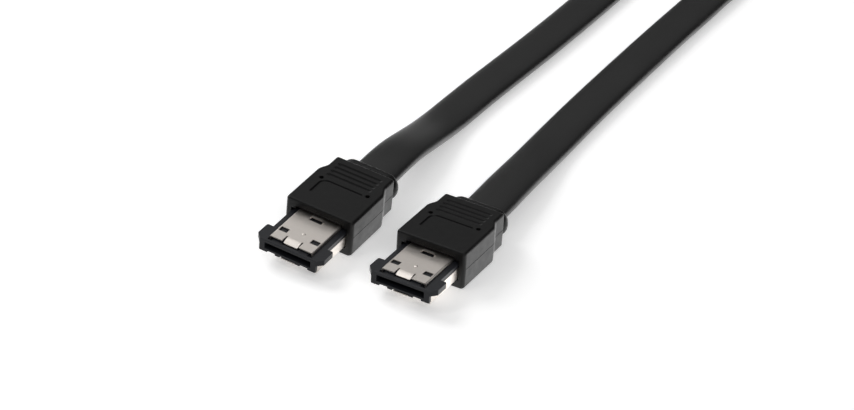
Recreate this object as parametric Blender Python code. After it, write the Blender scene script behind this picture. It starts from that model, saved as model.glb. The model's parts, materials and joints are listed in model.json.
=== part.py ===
"""A flat shielded data cable with a moulded plug on each end.

Every plug is drawn once in its own frame: X across its width, the nose towards -Y, the cable
leaving towards +Y, and Z up from the moulded body's underside. Metres throughout.
"""
import math

import bmesh
import bpy
from mathutils import Matrix, Vector

# Moulded body of the plug
BODY_WIDTH = 0.0176
BODY_HEIGHT = 0.0094
BODY_LENGTH = 0.0129
EDGE_RADIUS = 0.0007
EDGE_KEPT = 0.4
SHOULDER_LENGTH = 0.0032
GRIP_WIDTH = 0.0154
GRIP_LENGTH = 0.0036
GRIP_UNDERCUT = 0.0006
GRIP_END_RADIUS = 0.0006
NECK_WIDTH = 0.0128
NECK_HEIGHT = 0.0062
NECK_LENGTH = 0.0011
NECK_STEP = 0.0002
COLLAR_WIDTH = 0.0146
COLLAR_HEIGHT = 0.0066
COLLAR_LENGTH = 0.0026
COLLAR_RADIUS = 0.0030
COLLAR_FRONT_ROUND = 0.0009
COLLAR_BACK_ROUND = 0.0015
CORE_HEIGHT = 0.0047
GROOVES = 4
GROOVE_PITCH = 0.00155
GROOVE_FIRST = 0.01244
GROOVE_WIDTH = 0.0006
GROOVE_DEPTH = 0.0004
GROOVE_SPAN = 0.0114
PIN_HOLE_SPACING = 0.01214
PIN_HOLE_Y = 0.01044
PIN_HOLE_RADIUS = 0.00042
PIN_HOLE_DEPTH = 0.0009
PANEL_LEFT = 0.0054
PANEL_RIGHT = 0.0049
PANEL_FRONT = 0.0046
PANEL_BACK = 0.0101
PANEL_CORNER = 0.0010
PANEL_LINE = 0.0004
PANEL_DEPTH = 0.0002

# Plastic insulator that forms the nose
NOSE_LENGTH = 0.0126
NOSE_WIDTH = 0.0135
NOSE_BOTTOM = 0.00315
NOSE_ROOT = 0.0030
DECK_WIDTH = 0.0141
DECK_TOP = 0.00615
DECK_BOTTOM = 0.0052
EAR_SPAN = 0.0172
EAR_FRONT = 0.0111
EAR_BACK = 0.0074
EAR_BOTTOM = 0.00485
FRAME_WIDTH = 0.0146
FRAME_LENGTH = 0.0008
FRAME_BOTTOM = 0.0030
FRAME_EDGE = 0.00015
FOOT_WIDTH = 0.00205
FOOT_NOTCH = 0.00205
NOTCH_HEIGHT = 0.0004
PAD_WIDTH = 0.0012
SLOT_WIDTH = 0.0119
SLOT_BOTTOM = 0.00388
SLOT_HEIGHT = 0.0016
SLOT_DEPTH = 0.0080
LIP_LENGTH = 0.00135
LIP_CHAMFER = 0.0002
POCKET_WIDTH = 0.0011
POCKET_LENGTH = 0.0007
POCKET_DEPTH = 0.00045

# Contacts in the slot
CONTACTS = 7
CONTACT_PITCH = 0.00127
CONTACT_WIDTH = 0.00050
CONTACT_THICKNESS = 0.00022
CONTACT_FRONT = 0.0100
CONTACT_BUMP = 0.0004
CONTACT_BENDS = (0.0008, 0.0016, 0.0024, 0.0040)
CONTACT_TAIL = 0.0042
CONTACT_GAP = 0.0001

# Upper shield plate
PLATE_WIDTH = 0.0111
PLATE_TOP = 0.0068
PLATE_THICKNESS = 0.0003
PLATE_ROOT = 0.0024
PLATE_GAP = 0.0001
WINDOW_WIDTH = 0.0020
WINDOW_LENGTH = 0.0012
WINDOW_SPACING = 0.0081
WINDOW_Y = 0.00773
TONGUE_WIDTH = 0.0038
TONGUE_LENGTH = 0.0020
TONGUE_DROP = 0.0006
SLIT_WIDTH = 0.00025
BRIDGE_WIDTH = 0.0034
BRIDGE_LENGTH = 0.0010
BRIDGE_Y = 0.0011
BRIDGE_RISE = 0.0005
DIMPLE_Y = 0.0066
DIMPLE_RADIUS = 0.00035

# Lower shield shell
SHELL_BOTTOM = 0.0021
SHELL_THICKNESS = 0.00025
SHELL_GAP = 0.0001
SHELL_SIDE_TOP = 0.0051
SHELL_SIDE_LENGTH = 0.0117
SHELL_FLOOR_LENGTH = 0.0087
SHELL_ROOT = 0.0022
LOWER_TONGUE_WIDTH = 0.0036
LOWER_TONGUE_TIP = 0.0122
LOWER_TONGUE_Z = 0.00280

# Inside the moulded body
FIT = 0.0003
BLOCK_START = 0.0046
BLOCK_WIDTH = 0.0118
BLOCK_HEIGHT = 0.0056
BLOCK_LENGTH = 0.0076
FERRULE_LENGTH = 0.0050
FERRULE_WALL = 0.0004
WIRES = 4
WIRE_RADIUS = 0.00045
WIRE_PITCH = 0.0022
WIRE_GAP = 0.0001

# Flat cable
CABLE_WIDTH = 0.0105
CABLE_THICKNESS = 0.0033
CABLE_GAP = 0.0003
CABLE_SIDES = 2
EDGE_ROUNDING = 0.98

# How the two plugs lie: the first leans on its right front corner, held by the stiff cable
PLUG_PLACES = {
    "a": {"place": (-0.01364, -0.00666, 0.00051), "pitch": 3.35, "roll": 4.05},
    "b": {"place": (0.01356, -0.00390, 0.0), "pitch": 0.0, "roll": 0.0},
}

# Folded hank of the spare length, on edge, held by a strap
HANK_X = -0.0035
HANK_START = 0.1840
HANK_NEAR_HALF = 0.0215
HANK_WAIST_HALF = 0.0077
HANK_FAR_HALF = 0.0310
HANK_NEAR_LENGTH = 0.0240
HANK_WAIST_START = 0.2260
HANK_WAIST_END = 0.2740
HANK_FAR_START = 0.3000
HANK_END = 0.3350
HANK_HEIGHT = CABLE_WIDTH
STRAP_Y = 0.2480
STRAP_WIDTH = 0.0100
STRAP_THICKNESS = 0.0009
STRAP_GAP = 0.0003

# Route of each uncoiled stretch: x, y, z of the cable's middle, then its turn about its own line
RUN_A = [
    (-0.01331, 0.00900, 0.00612, 4.05),
    (-0.01331, 0.01670, 0.00657, 4.05),
    (-0.01362, 0.02400, 0.00672, 3.5),
    (-0.01420, 0.03100, 0.00610, 2.0),
    (-0.01490, 0.03900, 0.00460, 1.0),
    (-0.01570, 0.04700, 0.00300, 0.0),
    (-0.01625, 0.05500, 0.00200, 0.0),
    (-0.01648, 0.06400, 0.00166, 0.0),
    (-0.01640, 0.07400, 0.00165, 0.0),
    (-0.01610, 0.08600, 0.00165, 0.0),
    (-0.01575, 0.10000, 0.00165, 0.0),
    (-0.01560, 0.11600, 0.00165, 0.0),
    (-0.01565, 0.13200, 0.00165, 0.0),
    (-0.01580, 0.14500, 0.00165, 0.0),
    (-0.01610, 0.15400, 0.00200, -12.0),
    (-0.01660, 0.16200, 0.00300, -40.0),
    (-0.01730, 0.16950, 0.00430, -72.0),
    (-0.01800, 0.17700, 0.00475, -88.0),
    (-0.01860, 0.18370, 0.00475, -90.0),
]
RUN_B = [
    (0.01356, 0.01180, 0.00470, 0.0),
    (0.01356, 0.01950, 0.00470, 0.0),
    (0.01330, 0.02600, 0.00465, 0.0),
    (0.01270, 0.03300, 0.00430, 0.0),
    (0.01190, 0.04100, 0.00350, 0.0),
    (0.01090, 0.05000, 0.00240, 0.0),
    (0.01010, 0.05900, 0.00175, 0.0),
    (0.00960, 0.06900, 0.00165, 0.0),
    (0.00920, 0.08100, 0.00165, 0.0),
    (0.00890, 0.09500, 0.00165, 0.0),
    (0.00870, 0.11000, 0.00165, 0.0),
    (0.00860, 0.12600, 0.00165, 0.0),
    (0.00865, 0.14200, 0.00165, 0.0),
    (0.00880, 0.15500, 0.00165, 0.0),
    (0.00910, 0.16200, 0.00200, 12.0),
    (0.00960, 0.16800, 0.00310, 42.0),
    (0.01020, 0.17350, 0.00440, 74.0),
    (0.01085, 0.17880, 0.00475, 88.0),
    (0.01150, 0.18370, 0.00475, 90.0),
]
RUN_STEP = 0.0080

# Colours: base colour, roughness, metallic
BLACK_PVC = ((0.028, 0.028, 0.029), 0.46, 0.0)
NOSE_PLASTIC = ((0.030, 0.030, 0.034), 0.38, 0.0)
NICKEL = ((0.60, 0.58, 0.55), 0.30, 1.0)
GOLD = ((0.75, 0.55, 0.22), 0.28, 1.0)
NATURAL_BLOCK = ((0.72, 0.70, 0.64), 0.5, 0.0)
COPPER_BAND = ((0.62, 0.42, 0.26), 0.35, 1.0)
WIRE_BLUE = ((0.08, 0.16, 0.45), 0.45, 0.0)
STRAP_BLACK = ((0.022, 0.022, 0.024), 0.75, 0.0)

CORNER_STEPS = 4
SHOULDER_STEPS = 6
ROUTE_STEPS = 20
ROUND_STEPS = 12


def clear_scene():
    for obj in list(bpy.data.objects):
        bpy.data.objects.remove(obj, do_unlink=True)


def make_material(name, finish):
    colour, roughness, metallic = finish
    material = bpy.data.materials.new(name)
    material.use_nodes = True
    shader = material.node_tree.nodes["Principled BSDF"]
    shader.inputs["Base Color"].default_value = (*colour, 1.0)
    shader.inputs["Roughness"].default_value = roughness
    shader.inputs["Metallic"].default_value = metallic
    return material


def add_object(name, mesh, finish, parent=None):
    obj = bpy.data.objects.new(name, mesh)
    bpy.context.collection.objects.link(obj)
    obj.data.materials.append(make_material(name, finish))
    obj.parent = parent
    return obj


def add_cutter(name, mesh, parent=None):
    obj = bpy.data.objects.new(name, mesh)
    bpy.context.collection.objects.link(obj)
    obj.parent = parent
    obj.hide_render = True
    obj.display_type = "WIRE"
    return obj


def combine(target, tool, operation):
    """Leaves an exact Boolean of the tool on the target."""
    modifier = target.modifiers.new(tool.name, "BOOLEAN")
    modifier.operation = operation
    modifier.solver = "EXACT"
    modifier.object = tool


def to_mesh(bm, name):
    bmesh.ops.recalc_face_normals(bm, faces=bm.faces)
    mesh = bpy.data.meshes.new(name)
    bm.to_mesh(mesh)
    bm.free()
    return mesh


def add_box(bm, low, high):
    """Adds one closed box from its lowest to its highest corner."""
    middle = [(a + b) / 2 for a, b in zip(low, high)]
    size = [b - a for a, b in zip(low, high)]
    place = Matrix.Translation(middle) @ Matrix.Diagonal((*size, 1.0))
    bmesh.ops.create_cube(bm, size=1.0, matrix=place)


def box_mesh(name, boxes):
    bm = bmesh.new()
    for low, high in boxes:
        add_box(bm, low, high)
    return to_mesh(bm, name)


def prism_mesh(name, outline, start, end, axis):
    """Extrudes a closed outline along X, Y or Z; its points are the other two axes in order."""
    lift = {
        "X": lambda p, t: (t, p[0], p[1]),
        "Y": lambda p, t: (p[0], t, p[1]),
        "Z": lambda p, t: (p[0], p[1], t),
    }[axis]
    bm = bmesh.new()
    first = [bm.verts.new(lift(p, start)) for p in outline]
    face = bm.faces.new(first)
    pushed = bmesh.ops.extrude_face_region(bm, geom=[face])
    moved = [v for v in pushed["geom"] if isinstance(v, bmesh.types.BMVert)]
    step = Vector(lift((0.0, 0.0), end)) - Vector(lift((0.0, 0.0), start))
    bmesh.ops.translate(bm, verts=moved, vec=step)
    return to_mesh(bm, name)


def rounded_section(width, low, high, radius, centre=0.0, steps=CORNER_STEPS):
    """Points of a rounded rectangle in X and Z, one arc at each corner."""
    half = width / 2
    corners = [
        (centre + half - radius, high - radius, 0),
        (centre - half + radius, high - radius, 90),
        (centre - half + radius, low + radius, 180),
        (centre + half - radius, low + radius, 270),
    ]
    points = []
    for x, z, start in corners:
        for k in range(steps + 1):
            angle = math.radians(start + 90 * k / steps)
            points.append((x + radius * math.cos(angle), z + radius * math.sin(angle)))
    return points


def loft_mesh(name, sections):
    """Bridges sections of equal point counts, each given with its Y, and caps both ends."""
    bm = bmesh.new()
    rings = [[bm.verts.new((x, y, z)) for x, z in points] for y, points in sections]
    for near, far in zip(rings, rings[1:]):
        count = len(near)
        for k in range(count):
            bm.faces.new((near[k], near[(k + 1) % count], far[(k + 1) % count], far[k]))
    bm.faces.new(rings[0])
    bm.faces.new(rings[-1])
    return to_mesh(bm, name)


def rounded_end(width, low, high, corner, y, radius, direction):
    """Sections that round a block's end face over to its sides, from the face inwards."""
    sections = []
    for k in range(CORNER_STEPS + 1):
        angle = math.pi / 2 * k / CORNER_STEPS
        inset = radius * (1 - math.sin(angle))
        depth = radius * (1 - math.cos(angle))
        points = rounded_section(
            width - 2 * inset, low + inset, high - inset, max(corner - inset, corner * EDGE_KEPT)
        )
        sections.append((y + direction * depth, points))
    return sections


def grip_end():
    return BODY_LENGTH + SHOULDER_LENGTH + GRIP_LENGTH


def plug_back():
    return grip_end() + NECK_LENGTH + COLLAR_LENGTH


def overmould_mesh(name):
    """The moulded body: straight block, waisted shoulder, grip, neck and collar in one piece."""
    top = BODY_HEIGHT
    sections = rounded_end(BODY_WIDTH, 0.0, top, EDGE_RADIUS, 0.0, EDGE_RADIUS, 1)
    for k in range(SHOULDER_STEPS + 1):
        share = k / SHOULDER_STEPS
        ease = share * share * (3 - 2 * share)
        width = BODY_WIDTH + (GRIP_WIDTH - BODY_WIDTH) * ease
        low = GRIP_UNDERCUT * ease
        y = BODY_LENGTH + SHOULDER_LENGTH * share
        sections.append((y, rounded_section(width, low, top, EDGE_RADIUS)))
    end = rounded_end(GRIP_WIDTH, GRIP_UNDERCUT, top, EDGE_RADIUS, grip_end(), GRIP_END_RADIUS, -1)
    sections += reversed(end)
    neck = rounded_section(
        NECK_WIDTH, CORE_HEIGHT - NECK_HEIGHT / 2, CORE_HEIGHT + NECK_HEIGHT / 2, EDGE_RADIUS
    )
    sections.append((grip_end() + NECK_STEP, neck))
    sections.append((grip_end() + NECK_LENGTH - NECK_STEP, neck))
    low = CORE_HEIGHT - COLLAR_HEIGHT / 2
    high = CORE_HEIGHT + COLLAR_HEIGHT / 2
    collar_start = grip_end() + NECK_LENGTH
    sections += rounded_end(
        COLLAR_WIDTH, low, high, COLLAR_RADIUS, collar_start, COLLAR_FRONT_ROUND, 1
    )
    sections += reversed(
        rounded_end(COLLAR_WIDTH, low, high, COLLAR_RADIUS, plug_back(), COLLAR_BACK_ROUND, -1)
    )
    return loft_mesh(name, sections)


def core_cavity_boxes():
    """The hollow inside the moulded body, stepped to fit what it was moulded around."""
    shell_half = NOSE_WIDTH / 2 + SHELL_GAP + SHELL_THICKNESS
    front_depth = NOSE_ROOT + FIT
    block_half = BLOCK_WIDTH / 2 + FIT
    block_end = BLOCK_START + BLOCK_LENGTH + FIT
    ferrule_half = CABLE_WIDTH / 2 + WIRE_GAP + FERRULE_WALL + FIT
    ferrule_high = CABLE_THICKNESS / 2 + WIRE_GAP + FERRULE_WALL + FIT
    ferrule_end = block_end + FERRULE_LENGTH + FIT
    return [
        (
            (-shell_half - FIT, -BODY_LENGTH, SHELL_BOTTOM - FIT),
            (shell_half + FIT, front_depth, PLATE_TOP + FIT),
        ),
        (
            (-block_half, 0.0, CORE_HEIGHT - BLOCK_HEIGHT / 2 - FIT),
            (block_half, block_end, CORE_HEIGHT + BLOCK_HEIGHT / 2 + FIT),
        ),
        (
            (-ferrule_half, block_end - FIT, CORE_HEIGHT - ferrule_high),
            (ferrule_half, ferrule_end, CORE_HEIGHT + ferrule_high),
        ),
    ]


def cable_passage_mesh(name):
    """The cable's way out through the collar, with the cable's section and its clearance."""
    start = BLOCK_START + BLOCK_LENGTH + FERRULE_LENGTH
    width = CABLE_WIDTH + 2 * CABLE_GAP
    height = CABLE_THICKNESS + 2 * CABLE_GAP
    outline = rounded_section(
        width, CORE_HEIGHT - height / 2, CORE_HEIGHT + height / 2, height / 2 * EDGE_ROUNDING
    )
    return prism_mesh(name, outline, start, plug_back() + FIT, "Y")


def groove_mesh(name):
    """The finger grooves across the top of the grip."""
    boxes = []
    for k in range(GROOVES):
        y = GROOVE_FIRST + k * GROOVE_PITCH
        boxes.append(
            (
                (-GROOVE_SPAN / 2, y - GROOVE_WIDTH / 2, BODY_HEIGHT - GROOVE_DEPTH),
                (GROOVE_SPAN / 2, y + GROOVE_WIDTH / 2, BODY_HEIGHT + GROOVE_DEPTH),
            )
        )
    return box_mesh(name, boxes)


def panel_line_mesh(name):
    """The shallow line engraved around the blank label field: up one side, round and across."""
    middle = [(-PANEL_LEFT, PANEL_FRONT)]
    centre = (-PANEL_LEFT + PANEL_CORNER, PANEL_BACK - PANEL_CORNER)
    for k in range(CORNER_STEPS + 1):
        angle = math.radians(180 - 90 * k / CORNER_STEPS)
        middle.append(
            (
                centre[0] + PANEL_CORNER * math.cos(angle),
                centre[1] + PANEL_CORNER * math.sin(angle),
            )
        )
    middle.append((PANEL_RIGHT, PANEL_BACK))
    left, right = [], []
    for k, (x, y) in enumerate(middle):
        before = Vector(middle[max(k - 1, 0)])
        after = Vector(middle[min(k + 1, len(middle) - 1)])
        along = (after - before).normalized()
        side = Vector((-along.y, along.x)) * PANEL_LINE / 2
        left.append((x + side.x, y + side.y))
        right.append((x - side.x, y - side.y))
    outline = left + right[::-1]
    return prism_mesh(name, outline, BODY_HEIGHT - PANEL_DEPTH, BODY_HEIGHT + PANEL_DEPTH, "Z")


def pin_hole_mesh(name):
    """The two blind holes left by the mould's core pins."""
    bm = bmesh.new()
    for side in (-1, 1):
        place = Matrix.Translation((side * PIN_HOLE_SPACING / 2, PIN_HOLE_Y, BODY_HEIGHT))
        bmesh.ops.create_cone(
            bm, cap_ends=True, segments=ROUND_STEPS, radius1=PIN_HOLE_RADIUS,
            radius2=PIN_HOLE_RADIUS, depth=2 * PIN_HOLE_DEPTH, matrix=place,
        )
    return to_mesh(bm, name)


def build_overmould(label, parent):
    body = add_object(f"overmould_{label}", overmould_mesh("overmould"), BLACK_PVC, parent)
    for k, (low, high) in enumerate(core_cavity_boxes()):
        tool = add_cutter(f"cavity_{k}_{label}", box_mesh("cavity", [(low, high)]), parent)
        combine(body, tool, "DIFFERENCE")
    for maker in (cable_passage_mesh, groove_mesh, panel_line_mesh, pin_hole_mesh):
        name = maker.__name__.replace("_mesh", "")
        combine(body, add_cutter(f"{name}_{label}", maker(name), parent), "DIFFERENCE")


def frame_outline():
    """Front view of the nose's front wall: corner feet, two pads and a gap for the lower tongue."""
    half = FRAME_WIDTH / 2
    raised = FRAME_BOTTOM + NOTCH_HEIGHT
    foot = half - FOOT_WIDTH
    pad_out = foot - FOOT_NOTCH
    pad_in = pad_out - PAD_WIDTH
    right = [
        (pad_in, raised),
        (pad_in, FRAME_BOTTOM),
        (pad_out, FRAME_BOTTOM),
        (pad_out, raised),
        (foot, raised),
        (foot, FRAME_BOTTOM),
        (half - FRAME_EDGE, FRAME_BOTTOM),
        (half, FRAME_BOTTOM + FRAME_EDGE),
        (half, DECK_TOP),
    ]
    left = [(-x, z) for x, z in reversed(right)]
    return right + left


def deck_outline():
    """Plan of the nose's deck: its front edge, the ears with their slanted leads, and its sides."""
    half = DECK_WIDTH / 2
    right = [
        (FRAME_WIDTH / 2, -NOSE_LENGTH),
        (EAR_SPAN / 2, -EAR_FRONT),
        (EAR_SPAN / 2, -EAR_BACK),
        (half, -EAR_BACK),
        (half, NOSE_ROOT),
    ]
    left = [(-x, y) for x, y in reversed(right)]
    return right + left


def ear_outline(side):
    """Plan of the part of an ear that hangs beside the lower shield."""
    inner = NOSE_WIDTH / 2 + SHELL_THICKNESS + 2 * SHELL_GAP
    outline = [
        (inner, -NOSE_LENGTH + FRAME_LENGTH / 2),
        (FRAME_WIDTH / 2, -NOSE_LENGTH),
        (EAR_SPAN / 2, -EAR_FRONT),
        (EAR_SPAN / 2, -EAR_BACK),
        (inner, -EAR_BACK),
    ]
    if side > 0:
        return outline
    return [(-x, y) for x, y in reversed(outline)]


def build_insulator(label, parent):
    """The nose: a front wall, a body, a deck with ears, the slot and the bed of the plate."""
    front = -NOSE_LENGTH
    half = NOSE_WIDTH / 2
    bed = PLATE_TOP - PLATE_THICKNESS - PLATE_GAP
    bed_half = PLATE_WIDTH / 2 - PLATE_THICKNESS - PLATE_GAP
    plate_front = front + LIP_LENGTH - PLATE_GAP
    frame_back = front + FRAME_LENGTH
    deck = prism_mesh("insulator", deck_outline(), DECK_BOTTOM, DECK_TOP, "Z")
    piece = add_object(f"insulator_{label}", deck, NOSE_PLASTIC, parent)
    frame = prism_mesh("nose_frame", frame_outline(), front, frame_back, "Y")
    combine(piece, add_cutter(f"nose_frame_{label}", frame, parent), "UNION")
    body = box_mesh("nose_body", [
        ((-half, frame_back - FIT, NOSE_BOTTOM), (half, NOSE_ROOT, DECK_BOTTOM + FIT)),
    ])
    combine(piece, add_cutter(f"nose_body_{label}", body, parent), "UNION")
    for side in (-1, 1):
        ear = prism_mesh("ear", ear_outline(side), EAR_BOTTOM, DECK_BOTTOM + FIT, "Z")
        combine(piece, add_cutter(f"ear_{side}_{label}", ear, parent), "UNION")
    bed_block = box_mesh("plate_bed", [
        ((-bed_half, plate_front + 2 * PLATE_GAP, DECK_TOP - FIT), (bed_half, NOSE_ROOT, bed)),
    ])
    combine(piece, add_cutter(f"plate_bed_{label}", bed_block, parent), "UNION")
    lip = [
        (front - LIP_CHAMFER, DECK_TOP - 2 * LIP_CHAMFER),
        (front + 2 * LIP_CHAMFER, DECK_TOP + LIP_CHAMFER),
        (front - LIP_CHAMFER, DECK_TOP + LIP_CHAMFER),
    ]
    lip_cut = prism_mesh("lip", lip, -EAR_SPAN / 2, EAR_SPAN / 2, "X")
    combine(piece, add_cutter(f"lip_{label}", lip_cut, parent), "DIFFERENCE")
    slot_top = SLOT_BOTTOM + SLOT_HEIGHT
    slot_back = front + SLOT_DEPTH
    slot = box_mesh("slot", [
        ((-SLOT_WIDTH / 2, front - FIT, SLOT_BOTTOM), (SLOT_WIDTH / 2, slot_back, slot_top)),
    ])
    combine(piece, add_cutter(f"slot_{label}", slot, parent), "DIFFERENCE")
    pocket_out = PLATE_WIDTH / 2
    pocket_in = pocket_out - POCKET_WIDTH
    pockets = box_mesh("corner_pockets", [
        (
            (min(side * pocket_out, side * pocket_in), plate_front - POCKET_LENGTH, DECK_TOP - POCKET_DEPTH),
            (max(side * pocket_out, side * pocket_in), plate_front, bed + FIT),
        )
        for side in (-1, 1)
    ])
    combine(piece, add_cutter(f"corner_pockets_{label}", pockets, parent), "DIFFERENCE")
    tongue_half = TONGUE_WIDTH / 2 + SLIT_WIDTH
    recess_depth = TONGUE_DROP + PLATE_GAP / 2
    recess = box_mesh("tongue_recess", [
        (
            (-tongue_half, plate_front - POCKET_LENGTH / 2, bed - recess_depth),
            (tongue_half, plate_front + TONGUE_LENGTH, bed + FIT),
        ),
    ])
    combine(piece, add_cutter(f"tongue_recess_{label}", recess, parent), "DIFFERENCE")
    contact_half = CONTACT_WIDTH / 2 + CONTACT_GAP
    channel_floor = SLOT_BOTTOM - CONTACT_THICKNESS - CONTACT_GAP
    channels = []
    for k in range(CONTACTS):
        x = (k - (CONTACTS - 1) / 2) * CONTACT_PITCH
        channels.append((
            (x - contact_half, -CONTACT_FRONT - CONTACT_GAP, channel_floor),
            (x + contact_half, NOSE_ROOT + FIT, SLOT_BOTTOM + CONTACT_GAP),
        ))
    combine(piece, add_cutter(f"contact_channels_{label}", box_mesh("channels", channels), parent),
            "DIFFERENCE")


def contact_mesh(name):
    """A spring contact: a flat strip with a raised rubbing point near its front."""
    low = SLOT_BOTTOM - CONTACT_THICKNESS
    front = -CONTACT_FRONT
    line = [
        (front, 0.0),
        (front + CONTACT_BENDS[0], 0.0),
        (front + CONTACT_BENDS[1], CONTACT_BUMP),
        (front + CONTACT_BENDS[2], CONTACT_BUMP),
        (front + CONTACT_BENDS[3], 0.0),
        (CONTACT_TAIL, 0.0),
    ]
    under = [(y, low + lift) for y, lift in line]
    over = [(y, low + lift + CONTACT_THICKNESS) for y, lift in line]
    outline = under + over[::-1]
    return prism_mesh(name, outline, -CONTACT_WIDTH / 2, CONTACT_WIDTH / 2, "X")


def build_contacts(label, parent):
    mesh = contact_mesh("contact")
    for k in range(CONTACTS):
        piece = add_object(f"contact_{label}_{k + 1}", mesh.copy(), GOLD, parent)
        piece.location.x = (k - (CONTACTS - 1) / 2) * CONTACT_PITCH


def build_plate(label, parent):
    """The upper shield: a sheet with two windows, a lanced bridge and a sprung front tongue."""
    top = PLATE_TOP
    low = top - PLATE_THICKNESS
    front = -NOSE_LENGTH + LIP_LENGTH
    half = PLATE_WIDTH / 2
    notch = TONGUE_WIDTH / 2 + SLIT_WIDTH
    outline = [
        (-half, front), (-notch, front), (-notch, front + TONGUE_LENGTH),
        (notch, front + TONGUE_LENGTH), (notch, front), (half, front),
        (half, PLATE_ROOT), (-half, PLATE_ROOT),
    ]
    piece = add_object(f"shield_plate_{label}", prism_mesh("plate", outline, low, top, "Z"),
                       NICKEL, parent)
    root = front + TONGUE_LENGTH
    bend = root - TONGUE_LENGTH / 4
    tongue = [
        (root + PLATE_THICKNESS, low), (root + PLATE_THICKNESS, top), (bend, top),
        (front, top - TONGUE_DROP + PLATE_GAP), (front, low - TONGUE_DROP + PLATE_GAP),
        (bend, low),
    ]
    tongue_mesh = prism_mesh("tongue", tongue, -TONGUE_WIDTH / 2, TONGUE_WIDTH / 2, "X")
    combine(piece, add_cutter(f"tongue_{label}", tongue_mesh, parent), "UNION")
    windows = box_mesh("windows", [
        (
            (side * WINDOW_SPACING / 2 - WINDOW_WIDTH / 2, -WINDOW_Y - WINDOW_LENGTH / 2, low - FIT),
            (side * WINDOW_SPACING / 2 + WINDOW_WIDTH / 2, -WINDOW_Y + WINDOW_LENGTH / 2, top + FIT),
        )
        for side in (-1, 1)
    ])
    combine(piece, add_cutter(f"windows_{label}", windows, parent), "DIFFERENCE")
    bridge_half = BRIDGE_WIDTH / 2
    foot = BRIDGE_RISE
    front_edge = -BRIDGE_Y - BRIDGE_LENGTH / 2
    back_edge = -BRIDGE_Y + BRIDGE_LENGTH / 2
    opening = box_mesh("bridge_opening", [
        ((-bridge_half + foot, front_edge, low - FIT), (bridge_half - foot, back_edge, top + FIT)),
    ])
    combine(piece, add_cutter(f"bridge_opening_{label}", opening, parent), "DIFFERENCE")
    over = [
        (-bridge_half, top), (-bridge_half + foot, top + BRIDGE_RISE),
        (bridge_half - foot, top + BRIDGE_RISE), (bridge_half, top),
    ]
    under = [
        (bridge_half, low + PLATE_THICKNESS / 4),
        (bridge_half - foot, top + BRIDGE_RISE - PLATE_THICKNESS),
        (-bridge_half + foot, top + BRIDGE_RISE - PLATE_THICKNESS),
        (-bridge_half, low + PLATE_THICKNESS / 4),
    ]
    bridge = prism_mesh("bridge", over + under, front_edge + PLATE_GAP, back_edge - PLATE_GAP, "Y")
    combine(piece, add_cutter(f"bridge_{label}", bridge, parent), "UNION")
    bm = bmesh.new()
    bmesh.ops.create_cone(
        bm, cap_ends=True, segments=ROUND_STEPS, radius1=DIMPLE_RADIUS, radius2=DIMPLE_RADIUS / 2,
        depth=PLATE_THICKNESS, matrix=Matrix.Translation((0.0, -DIMPLE_Y, top)),
    )
    combine(piece, add_cutter(f"dimple_{label}", to_mesh(bm, "dimple"), parent), "UNION")


def build_shell(label, parent):
    """The lower shield: a floor pan, two upright sides and a front tongue."""
    inner = NOSE_WIDTH / 2 + SHELL_GAP
    outer = inner + SHELL_THICKNESS
    floor = SHELL_BOTTOM + SHELL_THICKNESS
    floor_front = -SHELL_FLOOR_LENGTH
    rail_top = NOSE_BOTTOM
    section = [
        (-outer, SHELL_BOTTOM), (outer, SHELL_BOTTOM), (outer, rail_top), (inner, rail_top),
        (inner, floor), (-inner, floor), (-inner, rail_top), (-outer, rail_top),
    ]
    pan = prism_mesh("shell", section, floor_front, SHELL_ROOT, "Y")
    piece = add_object(f"shield_shell_{label}", pan, NICKEL, parent)
    sides = box_mesh("shell_sides", [
        (
            (min(side * inner, side * outer), -SHELL_SIDE_LENGTH, SHELL_BOTTOM + SHELL_THICKNESS / 2),
            (max(side * inner, side * outer), SHELL_ROOT - SHELL_GAP, SHELL_SIDE_TOP),
        )
        for side in (-1, 1)
    ])
    combine(piece, add_cutter(f"shell_sides_{label}", sides, parent), "UNION")
    tip = -LOWER_TONGUE_TIP
    bend = floor_front - FIT
    rise = LOWER_TONGUE_Z - SHELL_BOTTOM
    tongue = [
        (floor_front + FIT, SHELL_BOTTOM), (bend, SHELL_BOTTOM),
        (bend - rise, SHELL_BOTTOM + rise), (tip, SHELL_BOTTOM + rise),
        (tip, floor + rise), (bend - rise, floor + rise), (bend, floor), (floor_front + FIT, floor),
    ]
    half = LOWER_TONGUE_WIDTH / 2
    tongue_mesh = prism_mesh("shell_tongue", tongue, -half, half, "X")
    combine(piece, add_cutter(f"shell_tongue_{label}", tongue_mesh, parent), "UNION")


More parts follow.
